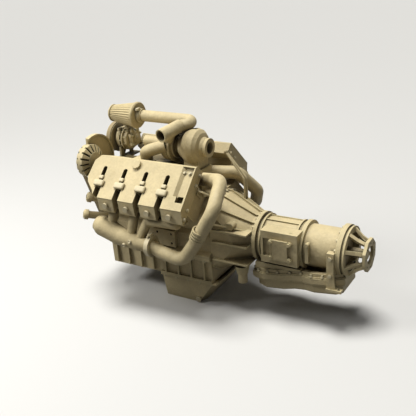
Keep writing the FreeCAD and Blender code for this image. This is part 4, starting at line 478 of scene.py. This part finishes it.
def bent_pipe(name, points, radius):
    """A round closed pipe on one smooth line through the bends' control points."""
    deselect_all()
    bpy.ops.curve.primitive_nurbs_path_add()
    line = bpy.context.active_object
    line.name = name
    curve = line.data
    curve.splines.clear()
    spline = curve.splines.new("NURBS")
    spline.points.add(len(points) - 1)
    for knot, point in zip(spline.points, points):
        knot.co = (*point, 1.0)
    spline.order_u = 3
    spline.use_endpoint_u = True
    spline.resolution_u = 8
    curve.bevel_depth = radius
    curve.bevel_resolution = 5
    curve.use_fill_caps = True
    bpy.ops.object.convert(target="MESH")
    bpy.ops.object.transform_apply(location=True, rotation=True, scale=True)
    return active_piece(name)


def finish_piece(piece, name, body, material):
    piece.name = name
    piece.data.name = name
    piece.data.materials.clear()
    piece.data.materials.append(material)
    smooth_edges(piece)
    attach(piece, body)


def finish_fasteners(piece, name):
    """Fasteners and fittings on the engine's body, in the fasteners' finish."""
    finish_piece(piece, name, "engine", bpy.data.materials["fasteners"])


def small_box(name, place, size, rounding):
    """A block with rounded edges at its place."""
    deselect_all()
    bpy.ops.mesh.primitive_cube_add(size=1.0, location=place, scale=size)
    box = active_piece(name)
    settle(box)
    return soften(box, rounding)


def bank_shift(side):
    """How far the right bank stands behind the left one."""
    return BANK_STAGGER if side > 0 else 0.0


def bank_place(x, height, outward, side):
    """A point given by its height along the bore and its distance outward of the bore axis."""
    return (x, side * (height + outward) * BANK_SLOPE, (height - outward) * BANK_SLOPE)


# ---- Operators: one for each piece or group of like pieces ----

class FinishCastings(bpy.types.Operator):
    """Give the castings, covers, pipes and fasteners their cast finishes"""
    bl_idname = "engine.finish_castings"
    bl_label = "Finish castings"

    def execute(self, context):
        tint = colours()
        rounding = sizes().edge_round
        groups = (
            (CAST_NODES, cast_finish("rough_casting", tuple(tint.casting), 0.70, 210.0, 0.55, rounding)),
            (COVER_NODES, cast_finish("covers_and_cases", tuple(tint.cover), 0.62, 260.0, 0.35, rounding)),
            (PIPE_NODES, cast_finish("pipes_and_pans", tuple(tint.pipe), 0.58, 240.0, 0.28, rounding * 0.7)),
            (FASTENER_NODES,
             cast_finish("fasteners", tuple(tint.fastener), 0.52, 300.0, 0.2, rounding * 0.4)),
            (("air_filter",), cast_finish("filter_pleats", tuple(tint.pipe), 0.82, 320.0, 0.5, 0.0012)),
            (("serpentine_belt",), cast_finish("ribbed_belt", tuple(tint.rubber), 0.80, 420.0, 0.5, 0.001)),
        )
        for nodes, material in groups:
            for node in nodes:
                dress(node, material)
        return {"FINISHED"}


class FinishMachined(bpy.types.Operator):
    """Give the shafts, gears, bearings and pistons their bare metal"""
    bl_idname = "engine.finish_machined"
    bl_label = "Finish machined parts"

    def execute(self, context):
        steel = steel_finish("turned_steel", tuple(colours().steel), 0.32, 60.0)
        alloy = steel_finish("piston_alloy", tuple(colours().alloy), 0.38, 90.0)
        sheet = steel_finish("gasket_sheet", tuple(shade(colours().steel, 0.7)), 0.5, 20.0)
        for node in STEEL_NODES:
            dress(node, steel)
        for node in PISTON_NODES:
            dress(node, alloy)
        dress("head_gaskets", sheet)
        return {"FINISHED"}


class AddBellBolts(bpy.types.Operator):
    """Flanged bolts round the bell housing's mouth, facing the gearbox"""
    bl_idname = "engine.add_bell_bolts"
    bl_label = "Bell housing bolts"

    def execute(self, context):
        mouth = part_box("bell_housing")[0].x + 0.010
        bolt = flanged_bolt("bell_bolts", sizes().bolt_head * 0.62, sizes().bolt_height)
        places = []
        count = sizes().bell_bolts
        for k in range(count):
            angle = math.radians(-44.0 + 88.0 * k / (count - 1))
            across, up = BELL_BOLT_RADIUS * math.sin(angle), BELL_BOLT_RADIUS * math.cos(angle)
            places.append(((mouth, across, up), (1.0, 0.0, 0.0)))
        bolts = copies_at(bolt, places)
        finish_fasteners(bolts, "bell_bolts")
        return {"FINISHED"}


class AddPanBolts(bpy.types.Operator):
    """Flanged bolts under the oil pan rail, under the sump flange and along the gearbox pan"""
    bl_idname = "engine.add_pan_bolts"
    bl_label = "Pan bolts"

    def execute(self, context):
        head, height = sizes().bolt_head * 0.85, sizes().bolt_height * 0.8
        low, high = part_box("upper_oil_pan")
        places = []
        count = sizes().rail_bolts
        for side in (-1.0, 1.0):
            for k in range(count):
                x = low.x + 0.030 + (high.x - low.x - 0.060) * k / (count - 1)
                places.append(((x, side * 0.1570, -0.1085), (0.0, 0.0, -1.0)))
        rail = copies_at(flanged_bolt("oil_pan_rail_bolts", head, height), places)
        finish_fasteners(rail, "oil_pan_rail_bolts")

        low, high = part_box("oil_sump")
        places = []
        for side in (-1.0, 1.0):
            for k in range(5):
                x = low.x + 0.020 + (high.x - low.x - 0.050) * k / 4.0
                places.append(((x, side * 0.1545, -0.2312), (0.0, 0.0, -1.0)))
        sump = copies_at(flanged_bolt("sump_flange_bolts", head * 0.7, height), places)
        finish_fasteners(sump, "sump_flange_bolts")

        tilt = GEARBOX_PAN_TILT
        places = []
        for side in (-1.0, 1.0):
            for along, reach in ((0.036, 0.1050), (0.086, 0.1125), (0.136, 0.1125), (0.192, 0.1015),
                                 (0.246, 0.0990), (0.300, 0.1120), (0.352, 0.1105), (0.400, 0.1080)):
                x = -0.528 + along * math.cos(tilt) + 0.0160 * math.sin(tilt)
                z = -0.118 + along * math.sin(tilt) - 0.0160 * math.cos(tilt)
                places.append(((x, side * reach, z), (-math.sin(tilt), 0.0, math.cos(tilt))))
        pan = copies_at(flanged_bolt("gearbox_pan_bolts", head * 0.9, height * 1.5), places)
        finish_fasteners(pan, "gearbox_pan_bolts")
        return {"FINISHED"}


class AddTurboBands(bpy.types.Operator):
    """Clamp bands that hold the turbocharger's three housings together"""
    bl_idname = "engine.add_turbo_bands"
    bl_label = "Turbocharger bands"

    def execute(self, context):
        width = sizes().band_width
        front = clamp_band("compressor_band", -0.9470, 0.0622, width)
        rear = clamp_band("turbine_band", -0.9070, 0.0562, width)
        finish_fasteners(front, "compressor_band")
        finish_fasteners(rear, "turbine_band")
        return {"FINISHED"}


class AddOilFeed(bpy.types.Operator):
    """Turbocharger oil feed pipe with its union and banjo"""
    bl_idname = "engine.add_oil_feed"
    bl_label = "Oil feed pipe"

    def execute(self, context):
        radius = sizes().feed_radius
        route = ((-0.927, 0.0, 0.452), (-0.927, 0.0, 0.474), (-0.927, 0.062, 0.474),
                 (-0.935, 0.094, 0.380), (-0.950, 0.082, 0.312))
        pipe = bent_pipe("turbo_oil_feed", route, radius)
        union = shaped_disc("union", 0.0105, 0.008, ((0.0015, 0.004), (0.0025, 0.003)))
        union = copies_at(union, (((-0.927, 0.0, 0.4535), (0.0, 0.0, 1.0)),
                                  ((-0.9485, 0.0835, 0.322), (0.16, 0.12, 0.98))))
        feed = join_all([pipe, union])
        finish_piece(feed, "turbo_oil_feed", "engine", bpy.data.materials["pipes_and_pans"])
        return {"FINISHED"}


class AddPortNuts(bpy.types.Operator):
    """Nuts on the studs that hold the exhaust manifolds to the heads"""
    bl_idname = "engine.add_port_nuts"
    bl_label = "Exhaust nuts"

    def execute(self, context):
        places = []
        for side in (-1.0, 1.0):
            stagger = bank_shift(side)
            for x in CYLINDERS_X:
                for along, up in ((-0.0295, 0.017), (0.0295, -0.017)):
                    point = bank_place(x + along - stagger, 0.285 + up, 0.0912, side)
                    places.append((point, (0.0, side * BANK_SLOPE, -BANK_SLOPE)))
        nuts = copies_at(flanged_bolt("exhaust_nuts", 0.0062, 0.010), places)
        finish_fasteners(nuts, "exhaust_nuts")
        return {"FINISHED"}


class AddCoverScrews(bpy.types.Operator):
    """Screws along each valve cover's rear edge and its valley edge"""
    bl_idname = "engine.add_cover_screws"
    bl_label = "Cover screws"

    def execute(self, context):
        rear = CYLINDERS_X[0] + 0.066
        screw_height = HEAD_TOP + 0.018
        places = []
        for side in (-1.0, 1.0):
            stagger = bank_shift(side)
            for outward in (-0.112, -0.060, 0.060, 0.104):
                places.append((bank_place(rear - stagger, screw_height, outward, side), (1.0, 0.0, 0.0)))
            for along in (0.012, 0.040):
                point = bank_place(rear - 0.066 + along - stagger, COVER_TOP - 0.0135, -0.100, side)
                places.append((point, (0.0, side * BANK_SLOPE, BANK_SLOPE)))
        screws = copies_at(flanged_bolt("cover_screws", 0.0068, 0.009), places)
        finish_fasteners(screws, "cover_screws")
        return {"FINISHED"}


class AddCompressorFittings(bpy.types.Operator):
    """Air conditioning compressor: hose fittings, through-bolts and mounting bolts"""
    bl_idname = "engine.add_compressor_fittings"
    bl_label = "Compressor fittings"

    def execute(self, context):
        low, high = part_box("ac_compressor")
        y, z = COMPRESSOR_Y, COMPRESSOR_Z
        cap = shaped_disc("hose_caps", 0.0135, 0.006, ((0.003, 0.009), (0.0, 0.003), (0.003, 0.004)))
        caps = copies_at(cap, (((high.x - 0.017, y - 0.018, 0.4375), (0.0, 0.0, 1.0)),
                               ((high.x - 0.017, y + 0.014, 0.4375), (0.0, 0.0, 1.0))))
        places = []
        for k in range(6):
            angle = math.radians(60.0 * k + 30.0)
            places.append(((high.x - 0.036, y + 0.0565 * math.sin(angle), z + 0.0565 * math.cos(angle)),
                           (-1.0, 0.0, 0.0)))
        bolts = copies_at(flanged_bolt("compressor_bolts", 0.0052, 0.008), places)
        middle = (low.x + high.x) / 2.0 - 0.001
        rods = []
        for k in range(6):
            angle = math.radians(60.0 * k)
            deselect_all()
            bpy.ops.mesh.primitive_cylinder_add(
                vertices=16, radius=0.0042, depth=0.022, rotation=(0.0, math.radians(90.0), 0.0),
                location=(middle, y + 0.0535 * math.sin(angle), z + 0.0535 * math.cos(angle)))
            rod = active_piece("compressor_rod")
            settle(rod)
            rods.append(soften(rod, 0.0008))
        box_parts = []
        for place, size in (((high.x - 0.018, y - 0.002, z + 0.060), (0.026, 0.060, 0.012)),
                            ((low.x + 0.018, y - 0.036, z + 0.052), (0.014, 0.026, 0.018)),
                            ((high.x - 0.048, y - 0.045, z + 0.036), (0.018, 0.022, 0.020))):
            box_parts.append(small_box("compressor_box", place, size, 0.0025))
        fittings = join_all([caps, bolts] + rods + box_parts)
        finish_fasteners(fittings, "compressor_fittings")
        return {"FINISHED"}


class AddCompressorHead(bpy.types.Operator):
    """Rear head of the air conditioning compressor, with its two hose knobs and lugs"""
    bl_idname = "engine.add_compressor_head"
    bl_label = "Compressor rear head"

    def execute(self, context):
        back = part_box("ac_compressor")[1].x
        y, z = COMPRESSOR_Y, COMPRESSOR_Z
        head = shaped_disc("compressor_head", 0.0410, 0.014, ((0.004, 0.008), (0.012, 0.006), (0.011, 0.005)))
        pieces = [copies_at(head, (((back - 0.001, y, z), (1.0, 0.0, 0.0)),))]
        knob = shaped_disc("head_knobs", 0.0120, 0.020, ((0.003, 0.007), (0.004, 0.004)))
        pieces.append(copies_at(knob, (((back + 0.009, y - 0.014, z + 0.030), (0.1, -0.25, 0.97)),
                                       ((back + 0.009, y + 0.016, z + 0.028), (0.3, 0.1, 0.95)))))
        bolt_places = []
        for angle in (35.0, 145.0, 215.0, 325.0):
            turn = math.radians(angle)
            across, up = y + 0.0400 * math.cos(turn), z + 0.0400 * math.sin(turn)
            pieces.append(small_box("head_lug", (back + 0.009, across, up), (0.020, 0.016, 0.018), 0.003))
            bolt_places.append(((back + 0.0185, across, up), (1.0, 0.0, 0.0)))
        pieces.append(copies_at(flanged_bolt("head_bolts", 0.0050, 0.008), bolt_places))
        finish_piece(join_all(pieces), "compressor_head", "engine",
                     bpy.data.materials["covers_and_cases"])
        return {"FINISHED"}


class AddTimingBolts(bpy.types.Operator):
    """Bolts round the edge of the timing cover's front face"""
    bl_idname = "engine.add_timing_bolts"
    bl_label = "Timing cover bolts"

    def execute(self, context):
        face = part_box("timing_cover")[0].x + 0.010
        places = []
        for side in (-1.0, 1.0):
            for y, z in ((0.110, 0.222), (0.117, 0.165), (0.118, 0.100), (0.118, 0.030), (0.118, -0.035),
                         (0.102, -0.082)):
                places.append(((face, side * y, z), (-1.0, 0.0, 0.0)))
        bolts = copies_at(flanged_bolt("timing_cover_bolts", 0.0068, 0.0085), places)
        finish_fasteners(bolts, "timing_cover_bolts")
        return {"FINISHED"}


class AddCoverCaps(bpy.types.Operator):
    """Rounded caps that bridge each valve cover's channels, with the small cap above each"""
    bl_idname = "engine.add_cover_caps"
    bl_label = "Cover caps"

    def execute(self, context):
        top = 0.3938
        caps = []
        for side in (-1.0, 1.0):
            stagger = bank_shift(side)
            for x in CYLINDERS_X:
                middle = x - 0.059 - stagger
                for outward, length, width, height in ((0.0150, 0.056, 0.031, 0.0165),
                                                       (-0.0160, 0.026, 0.020, 0.012)):
                    deselect_all()
                    bpy.ops.mesh.primitive_cube_add(size=1.0, location=(0.0, 0.0, height * 0.5 - 0.002),
                                                    scale=(length, width, height))
                    cap = active_piece("cover_cap")
                    bpy.ops.object.transform_apply(location=True, rotation=True, scale=True)
                    bevel = cap.modifiers.new("Pillow", "BEVEL")
                    bevel.width = height * 0.48
                    bevel.segments = 4
                    bpy.ops.object.modifier_apply(modifier=bevel.name)
                    point = Vector(bank_place(middle, top, outward, side))
                    lean = Matrix.Rotation(math.radians(-side * 45.0), 4, "X")
                    cap.matrix_world = Matrix.Translation(point) @ lean
                    settle(cap)
                    caps.append(cap)
        piece = join_all(caps)
        finish_fasteners(piece, "cover_caps")
        return {"FINISHED"}


class AddCoolantNecks(bpy.types.Operator):
    """Two beaded hose necks on the left of the timing cover"""
    bl_idname = "engine.add_coolant_necks"
    bl_label = "Coolant necks"

    def execute(self, context):
        pieces = []
        for root, knee, tip in (((-1.285, -0.124, 0.118), (-1.305, -0.170, 0.126), (-1.357, -0.226, 0.154)),
                                ((-1.285, -0.124, 0.030), (-1.315, -0.170, 0.032), (-1.385, -0.236, 0.061))):
            pieces.append(bent_pipe("neck", (root, knee, tip), 0.0190))
            outward = (Vector(tip) - Vector(knee)).normalized()
            bead = shaped_disc("bead", 0.0255, 0.020, ((0.0050, 0.004), (0.0060, 0.002), (0.0035, -0.008)))
            pieces.append(copies_at(bead, ((tuple(Vector(tip) - outward * 0.018), tuple(outward)),)))
            collar = shaped_disc("collar", 0.0240, 0.006, ((0.0030, 0.003),))
            pieces.append(copies_at(collar, (((root[0], -0.1285, root[2]), (0.0, -1.0, 0.0)),)))
        necks = join_all(pieces)
        finish_piece(necks, "coolant_necks", "engine", bpy.data.materials["pipes_and_pans"])
        return {"FINISHED"}


class AddManifoldPlugs(bpy.types.Operator):
    """Plug and sensor boss on the outer side of each exhaust manifold's log"""
    bl_idname = "engine.add_manifold_plugs"
    bl_label = "Manifold plugs"

    def execute(self, context):
        places = []
        for side in (-1.0, 1.0):
            stagger = bank_shift(side)
            places.append(((-1.030 - stagger, side * 0.3440, 0.022), (0.0, side * 0.94, 0.34)))
            places.append(((-1.062 - stagger, side * 0.3475, 0.004), (0.0, side * 0.98, -0.20)))
        plug = shaped_disc("manifold_plugs", 0.0100, 0.006, ((0.002, 0.004), (0.0026, -0.002)))
        plugs = copies_at(plug, places)
        finish_fasteners(plugs, "manifold_plugs")
        return {"FINISHED"}


class AddStage(bpy.types.Operator):
    """Pale floor and backdrop, soft lamps and the camera"""
    bl_idname = "engine.add_stage"
    bl_label = "Stage"

    def execute(self, context):
        low, high = cad_box
        reach = sizes().floor_reach
        deselect_all()
        bpy.ops.mesh.primitive_plane_add(size=2.0 * reach, location=(-0.7, 0.0, low[2] - 0.0005))
        floor = active_piece("floor")
        bpy.ops.object.mode_set(mode="EDIT")
        bpy.ops.mesh.subdivide(number_cuts=2)
        bpy.ops.object.mode_set(mode="OBJECT")
        settle(floor)
        material, tree, shader = new_material("pale_floor")
        tone = mix(tree, seen_ray(tree), shade(colours().floor, 0.12), tuple(colours().floor))
        tree.links.new(tone, shader.inputs["Base Color"])
        shader.inputs["Roughness"].default_value = 0.9
        shader.inputs["Specular IOR Level"].default_value = 0.1
        floor.data.materials.append(material)

        world = bpy.data.worlds.new("studio")
        context.scene.world = world
        world.use_nodes = True
        tree = world.node_tree
        tree.nodes.clear()
        ambient = tree.nodes.new("ShaderNodeBackground")
        ambient.inputs["Color"].default_value = (1.0, 0.985, 0.95, 1.0)
        ambient.inputs["Strength"].default_value = 0.05
        backdrop = tree.nodes.new("ShaderNodeBackground")
        backdrop.inputs["Color"].default_value = (0.93, 0.93, 0.92, 1.0)
        backdrop.inputs["Strength"].default_value = 0.95
        either = tree.nodes.new("ShaderNodeMixShader")
        output = tree.nodes.new("ShaderNodeOutputWorld")
        tree.links.new(seen_ray(tree), either.inputs["Fac"])
        tree.links.new(ambient.outputs["Background"], either.inputs[1])
        tree.links.new(backdrop.outputs["Background"], either.inputs[2])
        tree.links.new(either.outputs["Shader"], output.inputs["Surface"])

        centre = Vector((-0.75, 0.0, 0.1))
        lamps = (
            ("side_lamp", (-3.1, -1.7, 2.3), 1.1, 58.0, (1.0, 0.985, 0.95)),
            ("fill_lamp", (2.4, -2.4, 1.6), 2.4, 2.0, (0.95, 0.97, 1.0)),
        )
        for name, place, size, power, colour in lamps:
            light = bpy.data.lights.new(name, "AREA")
            light.size = size
            light.energy = power
            light.color = colour
            lamp = bpy.data.objects.new(name, light)
            context.collection.objects.link(lamp)
            aim = centre - Vector(place)
            turn = aim.to_track_quat("-Z", "Y").to_matrix().to_4x4()
            lamp.matrix_world = Matrix.Translation(Vector(place)) @ turn

        overhead = bpy.data.lights.new("overhead_lamp", "SUN")
        overhead.energy = 3.3
        overhead.angle = math.radians(24.0)
        overhead.color = (1.0, 0.985, 0.95)
        lamp = bpy.data.objects.new("overhead_lamp", overhead)
        context.collection.objects.link(lamp)
        aim = Vector((0.12, 0.02, -1.0))
        lamp.matrix_world = aim.to_track_quat("-Z", "Y").to_matrix().to_4x4()

        view = bpy.data.cameras.new("camera")
        view.sensor_width = 36.0
        view.sensor_height = 36.0
        view.angle = CAMERA_ANGLE
        view.clip_end = 60.0
        camera = bpy.data.objects.new("camera", view)
        context.collection.objects.link(camera)
        right = Vector((0.85997, 0.50649, -0.06259))
        up = Vector((-0.14522, 0.36045, 0.92140))
        back = Vector((0.48924, -0.78329, 0.38353))
        axes = Matrix((right, up, back)).transposed().to_4x4()
        camera.matrix_world = Matrix.Translation(Vector((0.8049, -2.5805, 1.3561))) @ axes
        context.scene.camera = camera

        context.scene.view_settings.view_transform = "Standard"
        return {"FINISHED"}


OPERATORS = (
    FinishCastings, FinishMachined, AddBellBolts, AddPanBolts, AddTurboBands, AddOilFeed, AddPortNuts,
    AddCoverScrews, AddCoverCaps, AddCompressorFittings, AddCompressorHead, AddTimingBolts,
    AddCoolantNecks, AddManifoldPlugs, AddStage,
)


class EnginePanel(bpy.types.Panel):
    """The engine's pieces, colours and sizes"""
    bl_idname = "VIEW3D_PT_v8_engine"
    bl_label = "V8 engine"
    bl_space_type = "VIEW_3D"
    bl_region_type = "UI"
    bl_category = "V8 engine"

    def draw(self, context):
        for operator in OPERATORS:
            self.layout.operator(operator.bl_idname)
        for name in EngineColours.__annotations__:
            self.layout.prop(context.scene.engine_colours, name)
        for name in EngineSizes.__annotations__:
            self.layout.prop(context.scene.engine_sizes, name)


CLASSES = (EngineColours, EngineSizes) + OPERATORS + (EnginePanel,)


def register():
    for each in CLASSES:
        bpy.utils.register_class(each)
    bpy.types.Scene.engine_colours = PointerProperty(type=EngineColours)
    bpy.types.Scene.engine_sizes = PointerProperty(type=EngineSizes)


def unregister():
    del bpy.types.Scene.engine_sizes
    del bpy.types.Scene.engine_colours
    for each in reversed(CLASSES):
        bpy.utils.unregister_class(each)


def main():
    register()
    for operator in OPERATORS:
        group, name = operator.bl_idname.split(".")
        getattr(getattr(bpy.ops, group), name)()


if __name__ == "__main__":
    main()
